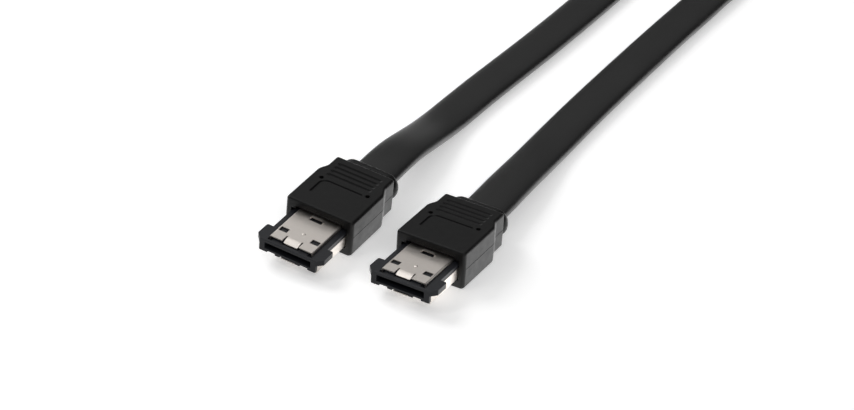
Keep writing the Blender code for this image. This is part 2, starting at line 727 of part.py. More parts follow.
def build_core(label, parent):
    """What the body is moulded around: the inner block, the ferrule and the insulated wires."""
    block_end = BLOCK_START + BLOCK_LENGTH
    half = BLOCK_WIDTH / 2
    block = box_mesh("inner_block", [
        (
            (-half, BLOCK_START, CORE_HEIGHT - BLOCK_HEIGHT / 2),
            (half, block_end, CORE_HEIGHT + BLOCK_HEIGHT / 2),
        ),
    ])
    piece = add_object(f"inner_block_{label}", block, NATURAL_BLOCK, parent)
    bm = bmesh.new()
    turn = Matrix.Rotation(math.pi / 2, 4, "X")
    for k in range(WIRES):
        x = (k - (WIRES - 1) / 2) * WIRE_PITCH
        place = Matrix.Translation((x, (BLOCK_START + block_end) / 2, CORE_HEIGHT)) @ turn
        bmesh.ops.create_cone(
            bm, cap_ends=True, segments=ROUND_STEPS, radius1=WIRE_RADIUS + WIRE_GAP,
            radius2=WIRE_RADIUS + WIRE_GAP, depth=BLOCK_LENGTH + 2 * FIT, matrix=place,
        )
    combine(piece, add_cutter(f"wire_ways_{label}", to_mesh(bm, "wire_ways"), parent), "DIFFERENCE")
    ferrule_start = block_end + FIT
    ferrule_end = ferrule_start + FERRULE_LENGTH
    inner_width = CABLE_WIDTH + 2 * WIRE_GAP
    inner_height = CABLE_THICKNESS + 2 * WIRE_GAP
    inside = rounded_section(
        inner_width, CORE_HEIGHT - inner_height / 2, CORE_HEIGHT + inner_height / 2,
        inner_height / 2 * EDGE_ROUNDING,
    )
    outer_width = inner_width + 2 * FERRULE_WALL
    outer_height = inner_height + 2 * FERRULE_WALL
    outside = rounded_section(
        outer_width, CORE_HEIGHT - outer_height / 2, CORE_HEIGHT + outer_height / 2,
        outer_height / 2 * EDGE_ROUNDING,
    )
    band = add_object(f"ferrule_{label}", prism_mesh("ferrule", outside, ferrule_start,
                                                     ferrule_end, "Y"), COPPER_BAND, parent)
    bore = prism_mesh("ferrule_bore", inside, ferrule_start - FIT, ferrule_end + FIT, "Y")
    combine(band, add_cutter(f"ferrule_bore_{label}", bore, parent), "DIFFERENCE")
    wire_start = CONTACT_TAIL + WIRE_GAP
    wire_end = ferrule_start + FIT
    for k in range(WIRES):
        bm = bmesh.new()
        x = (k - (WIRES - 1) / 2) * WIRE_PITCH
        place = Matrix.Translation((x, (wire_start + wire_end) / 2, CORE_HEIGHT)) @ turn
        bmesh.ops.create_cone(
            bm, cap_ends=True, segments=ROUND_STEPS, radius1=WIRE_RADIUS,
            radius2=WIRE_RADIUS, depth=wire_end - wire_start, matrix=place,
        )
        add_object(f"wire_{label}_{k + 1}", to_mesh(bm, "wire"), WIRE_BLUE, parent)


def build_plug(label, lie):
    plug = bpy.data.objects.new(f"plug_{label}", None)
    bpy.context.collection.objects.link(plug)
    plug.location = lie["place"]
    plug.rotation_mode = "YXZ"
    plug.rotation_euler = (math.radians(lie["pitch"]), math.radians(lie["roll"]), 0.0)
    build_overmould(label, plug)
    build_insulator(label, plug)
    build_contacts(label, plug)
    build_plate(label, plug)
    build_shell(label, plug)
    build_core(label, plug)


def smooth_route(points, step):
    """Reads evenly spaced points off a smooth curve through the route's own points."""
    dense = []
    count = len(points)
    for k in range(count - 1):
        before = Vector(points[max(k - 1, 0)])
        start = Vector(points[k])
        end = Vector(points[k + 1])
        after = Vector(points[min(k + 2, count - 1)])
        for j in range(ROUTE_STEPS):
            t = j / ROUTE_STEPS
            dense.append(
                0.5 * (2 * start + (end - before) * t
                       + (2 * before - 5 * start + 4 * end - after) * t * t
                       + (3 * start - before - 3 * end + after) * t ** 3)
            )
    dense.append(Vector(points[-1]))
    walked = [0.0]
    for near, far in zip(dense, dense[1:]):
        walked.append(walked[-1] + (far.to_3d() - near.to_3d()).length)
    wanted = max(2, round(walked[-1] / step))
    route, k = [], 0
    for j in range(wanted + 1):
        target = walked[-1] * j / wanted
        while k < len(walked) - 2 and walked[k + 1] < target:
            k += 1
        share = (target - walked[k]) / (walked[k + 1] - walked[k])
        route.append(dense[k].lerp(dense[k + 1], share))
    return route


def build_run(name, points):
    """A flat cable as a curve: its sides follow each point's turn, and no edge is under the floor."""
    curve = bpy.data.curves.new(name, "CURVE")
    curve.dimensions = "3D"
    curve.fill_mode = "FULL"
    curve.twist_mode = "Z_UP"
    curve.bevel_depth = CABLE_THICKNESS / 2
    curve.extrude = (CABLE_WIDTH - CABLE_THICKNESS) / 2
    curve.bevel_resolution = CABLE_SIDES
    curve.use_fill_caps = True
    turned = [(x, y, z, math.radians(90 + turn)) for x, y, z, turn in points]
    route = smooth_route(turned, RUN_STEP)
    line = curve.splines.new("POLY")
    line.points.add(len(route) - 1)
    for point, place in zip(line.points, route):
        x, y, z, tilt = place
        lowest = CABLE_THICKNESS / 2 + curve.extrude * abs(math.cos(tilt))
        point.co = (x, y, max(z, lowest), 1.0)
        point.tilt = tilt
    add_object(name, curve, BLACK_PVC)


def hank_outline():
    """Top view of the folded hank: loops at both ends, a waist where the strap holds it."""
    half = [
        (HANK_NEAR_HALF, HANK_START),
        (HANK_NEAR_HALF, HANK_START + HANK_NEAR_LENGTH),
        (HANK_WAIST_HALF, HANK_WAIST_START),
        (HANK_WAIST_HALF, HANK_WAIST_END),
        (HANK_FAR_HALF, HANK_FAR_START),
    ]
    centre = HANK_END - HANK_FAR_HALF / 2
    for k in range(1, 2 * CORNER_STEPS):
        angle = math.pi / 2 * k / (2 * CORNER_STEPS)
        x = HANK_FAR_HALF / 2 * (1 + math.cos(angle))
        half.append((x, centre + HANK_FAR_HALF / 2 * math.sin(angle)))
    half.append((HANK_FAR_HALF / 2, HANK_END))
    right = [(HANK_X + x, y) for x, y in half]
    left = [(HANK_X - x, y) for x, y in reversed(half)]
    return right + left


def build_hank():
    hank = add_object("cable_hank", prism_mesh("hank", hank_outline(), 0.0, HANK_HEIGHT, "Z"),
                      BLACK_PVC)
    front = STRAP_Y - STRAP_WIDTH / 2
    back = STRAP_Y + STRAP_WIDTH / 2
    under = STRAP_THICKNESS + STRAP_GAP
    groove = box_mesh("strap_groove", [
        ((HANK_X - 2 * HANK_WAIST_HALF, front - STRAP_GAP, -under),
         (HANK_X + 2 * HANK_WAIST_HALF, back + STRAP_GAP, under)),
    ])
    combine(hank, add_cutter("strap_groove", groove), "DIFFERENCE")
    inner = HANK_WAIST_HALF + STRAP_GAP
    outer = inner + STRAP_THICKNESS
    roof = HANK_HEIGHT + STRAP_GAP
    radius = 2 * STRAP_THICKNESS
    outside = rounded_section(2 * outer, 0.0, roof + STRAP_THICKNESS, radius, HANK_X)
    inside = rounded_section(2 * inner, STRAP_THICKNESS, roof, radius - STRAP_THICKNESS, HANK_X)
    strap = add_object("cable_strap", prism_mesh("strap", outside, front, back, "Y"), STRAP_BLACK)
    bore = prism_mesh("strap_bore", inside, front - STRAP_GAP, back + STRAP_GAP, "Y")
    combine(strap, add_cutter("strap_bore", bore), "DIFFERENCE")


clear_scene()
for plug_label, plug_lie in PLUG_PLACES.items():
    build_plug(plug_label, plug_lie)
build_run("cable_run_a", RUN_A)
build_run("cable_run_b", RUN_B)
build_hank()
bpy.context.view_layer.update()
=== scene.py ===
"""The look of a flat black data cable with a moulded plug on each end.

Both plugs are made once, in a plug's own frame: X across it, the nose towards -Y, the cable leaving
towards +Y and Z up from the body's underside. Each is then set where it lies. Metres throughout.
"""
import json
import math

import bmesh
import bpy
from mathutils import Matrix, Vector

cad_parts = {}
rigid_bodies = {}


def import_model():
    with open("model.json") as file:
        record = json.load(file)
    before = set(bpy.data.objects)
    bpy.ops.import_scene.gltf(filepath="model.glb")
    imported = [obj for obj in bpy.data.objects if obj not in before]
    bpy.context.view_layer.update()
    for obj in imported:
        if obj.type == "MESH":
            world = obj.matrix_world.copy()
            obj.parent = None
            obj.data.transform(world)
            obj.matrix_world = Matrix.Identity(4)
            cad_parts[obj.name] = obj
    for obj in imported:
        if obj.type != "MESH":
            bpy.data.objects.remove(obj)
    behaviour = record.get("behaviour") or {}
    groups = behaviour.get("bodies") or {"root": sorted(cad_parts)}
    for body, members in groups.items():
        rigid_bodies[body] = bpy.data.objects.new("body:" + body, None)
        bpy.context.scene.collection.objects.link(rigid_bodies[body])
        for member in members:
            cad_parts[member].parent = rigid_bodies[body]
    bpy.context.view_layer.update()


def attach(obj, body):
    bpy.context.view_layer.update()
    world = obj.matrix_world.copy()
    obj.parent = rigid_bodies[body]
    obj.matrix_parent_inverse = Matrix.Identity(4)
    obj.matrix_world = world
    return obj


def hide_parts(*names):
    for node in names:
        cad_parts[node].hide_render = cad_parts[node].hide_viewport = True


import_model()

# Camera: where the photograph was taken from, worked out from the corners of both plugs. It looks
# down at 32 degrees through a long lens, from the right of the noses, and leans a little.
IMAGE_WIDTH = 854
SENSOR_WIDTH = 36.0
CAMERA_TARGET = Vector((-0.00194, 0.02193, 0.0))
CAMERA_AZIMUTH = math.radians(28.6)
CAMERA_ELEVATION = math.radians(32.0)
CAMERA_ROLL = math.radians(3.3)
CAMERA_DISTANCE = 0.600
PIXELS_PER_METRE = 4366.0

camera_back = Vector((
    math.sin(CAMERA_AZIMUTH) * math.cos(CAMERA_ELEVATION),
    -math.cos(CAMERA_AZIMUTH) * math.cos(CAMERA_ELEVATION),
    math.sin(CAMERA_ELEVATION),
))
level_right = Vector((0.0, 0.0, 1.0)).cross(camera_back).normalized()
level_up = camera_back.cross(level_right)
camera_right = level_right * math.cos(CAMERA_ROLL) + level_up * math.sin(CAMERA_ROLL)
camera_up = level_up * math.cos(CAMERA_ROLL) - level_right * math.sin(CAMERA_ROLL)
camera_data = bpy.data.cameras.new("camera")
camera_data.sensor_width = SENSOR_WIDTH
camera_data.lens = PIXELS_PER_METRE * CAMERA_DISTANCE * SENSOR_WIDTH / IMAGE_WIDTH
camera_data.clip_start = 0.01
camera = bpy.data.objects.new("camera", camera_data)
bpy.context.scene.collection.objects.link(camera)
camera.matrix_world = (
    Matrix.Translation(CAMERA_TARGET + camera_back * CAMERA_DISTANCE)
    @ Matrix((camera_right, camera_up, camera_back)).transposed().to_4x4()
)
bpy.context.scene.camera = camera
bpy.context.scene.view_settings.view_transform = "Standard"


# Studio: a white table in a dark room. A soft key stands to the left, a fill by the camera, a small rim
# lamp at the front left and a softbox overhead, and the flat metal mirrors a dim panel behind. The table
# shines brighter in the plugs' sides than in their fronts, so its mirrored glow fades forwards.
FLOOR_SIZE = 6.0
FLOOR_WHITE = "#f2f2f2"
FLOOR_GLOW = 0.37
MIRRORED_GLOW = 1.9
MIRRORED_FADE = (-0.018, 0.0)
ROOM_LEVEL = 0.05
LAMPS = {
    "key": {"place": (-0.64, 0.14, 0.56), "size": (0.45, 0.45), "power": 3.6},
    "fill": {"place": (0.55, -0.45, 0.58), "size": (0.50, 0.50), "power": 2.6},
    "rim": {"place": (-0.36, -0.47, 0.66), "size": (0.30, 0.30), "power": 0.7},
    "softbox": {"place": (-0.06, 0.12, 0.90), "size": (1.00, 1.00), "power": 2.1},
    "panel": {"place": (-0.459, 0.841, 0.722), "size": (1.10, 0.40), "power": 0.85},
}
LAMP_AIM = Vector((0.0, 0.02, 0.0))
# Slanted, so that no two points of a piece are equally far along it
NUMBERING_LINE = Vector((1.0, 0.6183, 0.3761))


def linear(hex_colour):
    """Turns an sRGB hex colour into linear red, green, blue and alpha."""
    channels = [int(hex_colour[k:k + 2], 16) / 255 for k in (1, 3, 5)]
    return (*[c / 12.92 if c <= 0.04045 else ((c + 0.055) / 1.055) ** 2.4 for c in channels], 1.0)


def add_node(tree, kind, inputs=None, **settings):
    """Adds a shader node. Each input is a value, or the output socket that feeds it."""
    node = tree.nodes.new("ShaderNode" + kind)
    for name, value in settings.items():
        setattr(node, name, value)
    for socket, value in (inputs or {}).items():
        if isinstance(value, bpy.types.NodeSocket):
            tree.links.new(value, node.inputs[socket])
        else:
            node.inputs[socket].default_value = value
    return node


def new_tree(material):
    """Empties a material's or a world's node tree and hands it over."""
    material.use_nodes = True
    material.node_tree.nodes.clear()
    return material.node_tree


def new_object(name, mesh):
    obj = bpy.data.objects.new(name, mesh)
    bpy.context.scene.collection.objects.link(obj)
    return obj


def mesh_of(bm, name):
    """Turns a bmesh into a mesh whose faces all point outwards, numbered alike on every run."""
    bmesh.ops.recalc_face_normals(bm, faces=bm.faces)
    bm.verts.sort(key=lambda vertex: vertex.co.dot(NUMBERING_LINE))
    bm.faces.sort(key=lambda face: face.calc_center_median().dot(NUMBERING_LINE))
    mesh = bpy.data.meshes.new(name)
    bm.to_mesh(mesh)
    bm.free()
    mesh.shade_smooth()
    return mesh


floor_bm = bmesh.new()
bmesh.ops.create_grid(floor_bm, x_segments=1, y_segments=1, size=FLOOR_SIZE / 2)
floor = new_object("floor", mesh_of(floor_bm, "floor"))

table_white = bpy.data.materials.new("white_table")
tree = new_tree(table_white)
light_path = add_node(tree, "LightPath")
seen = add_node(tree, "Math", {0: light_path.outputs["Is Camera Ray"], 1: FLOOR_GLOW}, operation="MULTIPLY")
along = add_node(tree, "SeparateXYZ", {0: add_node(tree, "TexCoord").outputs["Object"]})
mirrored = add_node(tree, "MapRange", {
    "Value": along.outputs["Y"], "From Min": MIRRORED_FADE[0], "From Max": MIRRORED_FADE[1],
    "To Min": 0.0, "To Max": MIRRORED_GLOW,
})
glow = add_node(tree, "Math", {
    0: light_path.outputs["Is Glossy Ray"], 1: mirrored.outputs[0], 2: seen.outputs[0],
}, operation="MULTIPLY_ADD")
surface = add_node(tree, "BsdfDiffuse", {"Color": linear(FLOOR_WHITE)})
light = add_node(tree, "Emission", {"Color": (1.0, 1.0, 1.0, 1.0), "Strength": glow.outputs[0]})
both = add_node(tree, "AddShader", {0: surface.outputs[0], 1: light.outputs[0]})
add_node(tree, "OutputMaterial", {"Surface": both.outputs[0]})
floor.data.materials.append(table_white)

room = bpy.data.worlds.new("room")
bpy.context.scene.world = room
tree = new_tree(room)
light_path = add_node(tree, "LightPath")
plain = add_node(tree, "Background", {"Color": (1.0, 1.0, 1.0, 1.0), "Strength": ROOM_LEVEL})
white = add_node(tree, "Background", {"Color": (1.0, 1.0, 1.0, 1.0), "Strength": 1.0})
mixed = add_node(tree, "MixShader", {
    0: light_path.outputs["Is Camera Ray"], 1: plain.outputs[0], 2: white.outputs[0],
})
add_node(tree, "OutputWorld", {"Surface": mixed.outputs[0]})

for lamp_name, lamp in LAMPS.items():
    lamp_data = bpy.data.lights.new(lamp_name, "AREA")
    lamp_data.shape = "RECTANGLE"
    lamp_data.size, lamp_data.size_y = lamp["size"]
    lamp_data.energy = lamp["power"]
    lamp_obj = new_object(lamp_name, lamp_data)
    lamp_obj.visible_camera = False
    aim = (LAMP_AIM - Vector(lamp["place"])).to_track_quat("-Z", "Y")
    lamp_obj.matrix_world = Matrix.Translation(lamp["place"]) @ aim.to_matrix().to_4x4()


# Cable: one flat jacketed cable, extruded in satin black flexible vinyl. Each end leaves its plug level
# and settles onto the table, and the spare length is turned on edge and folded into a hank of four runs.
JACKET_WIDTH = 0.0105
JACKET_THICKNESS = 0.0033
JACKET_STEPS = 40
JACKET_BLUNTNESS = 0.70
CABLE_STEP = 0.0025
ROUTE_DETAIL = 16
# Route of each uncoiled stretch: x, y, z of the cable's middle, then its turn about its own line
ROUTE_A = [
    (-0.01331, 0.00900, 0.00612, 4.05), (-0.01331, 0.01670, 0.00657, 4.05),
    (-0.01362, 0.02400, 0.00672, 3.5), (-0.01420, 0.03100, 0.00610, 2.0),
    (-0.01490, 0.03900, 0.00460, 1.0), (-0.01570, 0.04700, 0.00300, 0.0),
    (-0.01625, 0.05500, 0.00200, 0.0), (-0.01648, 0.06400, 0.00166, 0.0),
    (-0.01640, 0.07400, 0.00165, 0.0), (-0.01610, 0.08600, 0.00165, 0.0),
    (-0.01575, 0.10000, 0.00165, 0.0), (-0.01560, 0.11600, 0.00165, 0.0),
    (-0.01565, 0.13200, 0.00165, 0.0), (-0.01580, 0.14500, 0.00165, 0.0),
    (-0.01610, 0.15400, 0.00200, -12.0), (-0.01660, 0.16200, 0.00300, -40.0),
    (-0.01730, 0.16950, 0.00430, -72.0), (-0.01800, 0.17700, 0.00475, -88.0),
    (-0.01860, 0.18370, 0.00475, -90.0),
]
ROUTE_B = [
    (0.01356, 0.01180, 0.00470, 0.0), (0.01356, 0.01950, 0.00470, 0.0),
    (0.01330, 0.02600, 0.00465, 0.0), (0.01270, 0.03300, 0.00430, 0.0),
    (0.01190, 0.04100, 0.00350, 0.0), (0.01090, 0.05000, 0.00240, 0.0),
    (0.01010, 0.05900, 0.00175, 0.0), (0.00960, 0.06900, 0.00165, 0.0),
    (0.00920, 0.08100, 0.00165, 0.0), (0.00890, 0.09500, 0.00165, 0.0),
    (0.00870, 0.11000, 0.00165, 0.0), (0.00860, 0.12600, 0.00165, 0.0),
    (0.00865, 0.14200, 0.00165, 0.0), (0.00880, 0.15500, 0.00165, 0.0),
    (0.00910, 0.16200, 0.00200, 12.0), (0.00960, 0.16800, 0.00310, 42.0),
    (0.01020, 0.17350, 0.00440, 74.0), (0.01085, 0.17880, 0.00475, 88.0),
    (0.01150, 0.18370, 0.00475, 90.0),
]
HANK_X = -0.0035
HANK_PITCH = 0.0037
HANK_LOOP = 0.0130
HANK_NEAR_Y = 0.1995
HANK_FAR_Y = 0.3200
HANK_LANE_START = 0.2340
HANK_LANE_END = 0.2830
HANK_LEAD_HALF = 0.0170
HANK_LEAD_SHIFT = 0.0015
LEAD_HANDLE = 0.0060
LEAD_STEEPNESS = 10
LANE_HANDLE = 0.0100
EDGE_TURN = -90.0
STRAP_Y = 0.2480
STRAP_RISE = 0.0011
STRAP_RISE_HALF = 0.0300
SHARP_ANGLE = math.radians(32)


def through(points, detail):
    """Points of a smooth curve through the given ones."""
    smooth = []
    for k in range(len(points) - 1):
        before = Vector(points[max(k - 1, 0)])
        start, end = Vector(points[k]), Vector(points[k + 1])
        after = Vector(points[min(k + 2, len(points) - 1)])
        for j in range(detail):
            t = j / detail
            smooth.append(0.5 * (2 * start + (end - before) * t
                                 + (2 * before - 5 * start + 4 * end - after) * t * t
                                 + (3 * start - before - 3 * end + after) * t ** 3))
    smooth.append(Vector(points[-1]))
    return smooth


def ease(start, end, leave, arrive, detail=ROUTE_DETAIL):
    """Points of one Bezier stretch between two plan points, by the handles at its ends."""
    start, end = Vector(start), Vector(end)
    first, second = start + Vector(leave), end - Vector(arrive)
    return [
        (1 - t) ** 3 * start + 3 * t * (1 - t) ** 2 * first + 3 * t * t * (1 - t) * second + t ** 3 * end
        for t in [k / detail for k in range(detail)]
    ]


def bend(centre_x, centre_y, from_degrees, to_degrees, detail=2 * ROUTE_DETAIL):
    """Points of one loop of the hank, on an arc."""
    angles = [math.radians(from_degrees + (to_degrees - from_degrees) * k / detail) for k in range(detail)]
    return [Vector((centre_x + HANK_LOOP * math.cos(a), centre_y + HANK_LOOP * math.sin(a))) for a in angles]


def half_hank(side):
    """Plan of one half of the hank, from its lead-in to the middle of the near loop."""
    inner, outer = side * HANK_PITCH / 2, side * HANK_PITCH * 3 / 2
    lead = side * HANK_LEAD_HALF
    route_end = (ROUTE_A if side < 0 else ROUTE_B)[-1]
    entry = (route_end[0] - HANK_X, route_end[1])
    near_start = HANK_NEAR_Y + HANK_LEAD_SHIFT
    near_handle = (0.0, (HANK_LANE_START - HANK_NEAR_Y) / 2)
    far_handle = (0.0, (HANK_FAR_Y - HANK_LANE_END) / 2)
    far_centre = inner + side * HANK_LOOP
    far_out = inner + 2 * side * HANK_LOOP
    over = (180, 0) if side < 0 else (0, 180)
    out_handle, home_handle = (0.0, LANE_HANDLE), (0.0, -LANE_HANDLE)
    lead_handle = (side * LEAD_HANDLE / LEAD_STEEPNESS, LEAD_HANDLE)
    lane_start = HANK_LANE_START + HANK_LEAD_SHIFT
    plan = ease(entry, (lead, near_start), lead_handle, (0.0, LEAD_HANDLE))
    plan += ease((lead, near_start), (outer, lane_start), near_handle, near_handle)
    plan += ease((outer, lane_start), (outer, HANK_LANE_END), out_handle, out_handle)
    plan += ease((outer, HANK_LANE_END), (far_out, HANK_FAR_Y), far_handle, far_handle)
    plan += bend(far_centre, HANK_FAR_Y, *over)
    plan += ease((inner, HANK_FAR_Y), (inner, HANK_LANE_START), home_handle, home_handle)
    back_handle = (0.0, -near_handle[1])
    plan += ease((inner, HANK_LANE_START), (side * HANK_LOOP, HANK_NEAR_Y), back_handle, back_handle)
    start = 180 if side < 0 else 360
    plan += bend(0.0, HANK_NEAR_Y, start, 270, ROUTE_DETAIL)
    return plan


def on_edge(plan):
    """Stands the hank's plan on edge, raised where the strap passes under it."""
    stations = []
    for x, y in plan:
        near_strap = max(-1.0, min(1.0, (y - STRAP_Y) / STRAP_RISE_HALF))
        rise = STRAP_RISE * (1 + math.cos(math.pi * near_strap)) / 2
        stations.append(Vector((HANK_X + x, y, JACKET_WIDTH / 2 + rise, EDGE_TURN)))
    return stations


def rested(station):
    """Lifts a station where an edge of the turned cable would be under the table."""
    half_edge = (JACKET_WIDTH - JACKET_THICKNESS) / 2 * abs(math.sin(math.radians(station[3])))
    return Vector((station[0], station[1], max(station[2], JACKET_THICKNESS / 2 + half_edge), station[3]))


def evenly(stations, step):
    """Reads stations off a route at even steps of its length."""
    walked = [0.0]
    for near, far in zip(stations, stations[1:]):
        walked.append(walked[-1] + (far.to_3d() - near.to_3d()).length)
    count = round(walked[-1] / step)
    even, k = [], 0
    for j in range(count + 1):
        target = walked[-1] * j / count
        while k < len(walked) - 2 and walked[k + 1] < target:
            k += 1
        even.append(stations[k].lerp(stations[k + 1], (target - walked[k]) / (walked[k + 1] - walked[k])))
    return even


left_half = half_hank(-1)
right_half = half_hank(1)
bottom = Vector((0.0, HANK_NEAR_Y - HANK_LOOP))
lead_a = through(ROUTE_A, ROUTE_DETAIL)[:-1]
lead_b = [Vector((*place[:3], -place[3])) for place in reversed(through(ROUTE_B, ROUTE_DETAIL)[:-1])]
cable_route = lead_a + on_edge(left_half + [bottom] + right_half[::-1]) + lead_b
cable_stations = evenly([rested(station) for station in cable_route], CABLE_STEP)


def section_bmesh(width, height):
    """The cable's section as one face upright in X and Z: an oval, crowned above and below."""
    bm = bmesh.new()
    outline = []
    for k in range(JACKET_STEPS):
        angle = 2 * math.pi * (k + 0.5) / JACKET_STEPS
        reach, rise = math.cos(angle), math.sin(angle)
        outline.append((math.copysign(width / 2 * abs(reach) ** JACKET_BLUNTNESS, reach), 0.0,
                        math.copysign(height / 2 * abs(rise) ** JACKET_BLUNTNESS, rise)))
    bm.faces.new([bm.verts.new(point) for point in outline])
    return bm


def pulled_face(bm, face, inside):
    """Extrudes a face and gives back its new end. A face left inside the solid goes."""
    pulled = bmesh.ops.extrude_face_region(bm, geom=[face])["geom"]
    if inside:
        bmesh.ops.delete(bm, geom=[face], context="FACES_ONLY")
    return next(item for item in pulled if isinstance(item, bmesh.types.BMFace))


def sweep(bm, stations):
    """Pulls the bmesh's one face along stations of place and turn, and caps the far end."""
    bm.faces.ensure_lookup_table()
    face = bm.faces[0]
    shape = [vertex.co.copy() for vertex in face.verts]
    layer = bm.verts.layers.float_vector.new("jacket_place")
    walked = 0.0
    for k, station in enumerate(stations):
        before = stations[max(k - 1, 0)].to_3d()
        after = stations[min(k + 1, len(stations) - 1)].to_3d()
        along = (after - before).normalized()
        level = along.cross(Vector((0.0, 0.0, 1.0))).normalized()
        turn = math.radians(station[3])
        thick = level.cross(along) * math.cos(turn) + level * math.sin(turn)
        across = along.cross(thick)
        if k:
            walked += (station.to_3d() - stations[k - 1].to_3d()).length
            face = pulled_face(bm, face, k > 1)
        for vertex, point in zip(face.verts, shape):
            vertex.co = station.to_3d() + across * point.x + thick * point.z
            vertex[layer] = (point.x, walked, point.z)


def steady_normals(mesh):
    """Gives each corner the normal of the larger faces round it, so that flat faces stay flat."""
    faces_at = [[] for _ in mesh.vertices]
    for face in mesh.polygons:
        for index in face.vertices:
            faces_at[index].append(face)
    smooth_limit = math.cos(SHARP_ANGLE)
    normals = []
    for face in mesh.polygons:
        for index in face.vertices:
            total = Vector()
            for near in faces_at[index]:
                if near.normal.dot(face.normal) > smooth_limit:
                    total += near.normal * near.area
            normals.append(total.normalized() if total.length else face.normal)
    mesh.normals_split_custom_set(normals)
    return mesh


jacket_bm = section_bmesh(JACKET_WIDTH, JACKET_THICKNESS)
sweep(jacket_bm, cable_stations)
cable = new_object("cable_jacket", steady_normals(mesh_of(jacket_bm, "cable_jacket")))


# Vinyl jacket: extruded flexible vinyl with a satin skin, faint draw lines along it from the die and
# slow ripples where it has been coiled. The draw lines are coarser than the real ones, so that they show.
JACKET_BLACK = "#1d1d1d"
DRAW_LINE = 0.00035
DRAW_LENGTH = 0.012
RIPPLE = 0.011
RIPPLE_STRETCH = 0.6
GRIT = 0.00018
# The part of a noise's range that its values mostly lie in
NOISE_BAND = {"From Min": 0.3, "From Max": 0.7}

vinyl_jacket = bpy.data.materials.new("extruded_vinyl")
tree = new_tree(vinyl_jacket)
place = add_node(tree, "Attribute", attribute_name="jacket_place").outputs["Vector"]
drawn = add_node(tree, "Mapping", {
    "Vector": place, "Scale": (1 / DRAW_LINE, 1 / DRAW_LENGTH, 1 / DRAW_LINE),
})
lines = add_node(tree, "TexNoise", {"Vector": drawn.outputs[0], "Scale": 1.0, "Detail": 2.0})
rippled = add_node(tree, "Mapping", {
    "Vector": place, "Scale": (1 / RIPPLE, RIPPLE_STRETCH / RIPPLE, 1 / RIPPLE),
})
ripples = add_node(tree, "TexNoise", {"Vector": rippled.outputs[0], "Scale": 1.0, "Detail": 1.0})
grit = add_node(tree, "TexNoise", {"Vector": place, "Scale": 1 / GRIT, "Detail": 1.0})
rough = add_node(tree, "MapRange", {
    **NOISE_BAND, "Value": ripples.outputs[0], "To Min": 0.44, "To Max": 0.54,
})
bump = add_node(tree, "Bump", {"Strength": 0.35, "Distance": 0.00008, "Height": ripples.outputs[0]})
bump = add_node(tree, "Bump", {
    "Strength": 0.25, "Distance": 0.00001, "Height": lines.outputs[0], "Normal": bump.outputs[0],
})
bump = add_node(tree, "Bump", {
    "Strength": 0.2, "Distance": 0.00001, "Height": grit.outputs[0], "Normal": bump.outputs[0],
})
shader = add_node(tree, "BsdfPrincipled", {
    "Base Color": linear(JACKET_BLACK), "IOR": 1.5, "Specular IOR Level": 0.35,
    "Roughness": rough.outputs[0], "Normal": bump.outputs[0],
})
add_node(tree, "OutputMaterial", {"Surface": shader.outputs[0]})
cable.data.materials.append(vinyl_jacket)
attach(cable, "root")
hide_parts("cable_run_a", "cable_run_b", "cable_hank")


# Both plugs: one moulding made twice. The left one leans on its right front corner, held up by its
# stiff cable, and the right one lies flat. Each piece is drawn once, rounded, and set in both.
PLUG_LIES = {
    "a": {"place": (-0.01364, -0.00666, 0.00051), "pitch": 3.35, "roll": 4.05},
    "b": {"place": (0.01356, -0.00390, 0.0), "pitch": 0.0, "roll": 0.0},
}
PATTERN_SHIFT = 0.1
WELD = 2e-6
ROUND_STEPS = 6
ROUNDING_STEPS = 2
ROUNDED_ABOVE = math.radians(40)


def stack(bm, rings):
    """Extrudes the first ring's face onto each further ring in turn, which leaves a closed solid."""
    face = bm.faces.new([bm.verts.new(point) for point in rings[0]])
    for k, ring in enumerate(rings[1:]):
        face = pulled_face(bm, face, k > 0)
        for vertex, point in zip(face.verts, ring):
            vertex.co = point
    return bm


def block(*boxes):
    """Straight-sided blocks, each from its lowest to its highest corner."""
    bm = bmesh.new()
    for (x0, y0, z0), (x1, y1, z1) in boxes:
        stack(bm, [[(x0, y0, z), (x1, y0, z), (x1, y1, z), (x0, y1, z)] for z in (z0, z1)])
    return bm


def bar_across(outline, half):
    """A bar along X from its side view, whose points are y and z."""
    return stack(bmesh.new(), [[(x, y, z) for y, z in outline] for x in (-half, half)])


def bar_along(outline, start, end):
    """A bar along Y from its front view, whose points are x and z."""
    return stack(bmesh.new(), [[(x, y, z) for x, z in outline] for y in (start, end)])


def both_sides(box):
    """A block and its twin on the other side of the plug."""
    (x0, y0, z0), (x1, y1, z1) = box
    return box, ((-x1, y0, z0), (-x0, y1, z1))


def twin(outline):
    """The same outline on the other side of the plug, run the other way."""
    return [(-x, other) for x, other in reversed(outline)]


def circle(centre_x, centre_y, z, radius):
    """A level circle of points."""
    angles = [math.tau * k / (4 * ROUND_STEPS) for k in range(4 * ROUND_STEPS)]
    return [(centre_x + radius * math.cos(a), centre_y + radius * math.sin(a), z) for a in angles]


def round_edges(bm, radius, clamped):
    """Rounds each sharp edge of a closed bmesh, and keeps the rounds from crossing if clamped."""
    edges = [edge for edge in bm.edges if edge.is_manifold and edge.calc_face_angle() > ROUNDED_ABOVE]
    bmesh.ops.bevel(bm, geom=edges, offset=radius, segments=ROUNDING_STEPS, profile=0.5,
                    affect="EDGES", clamp_overlap=clamped, material=-1)


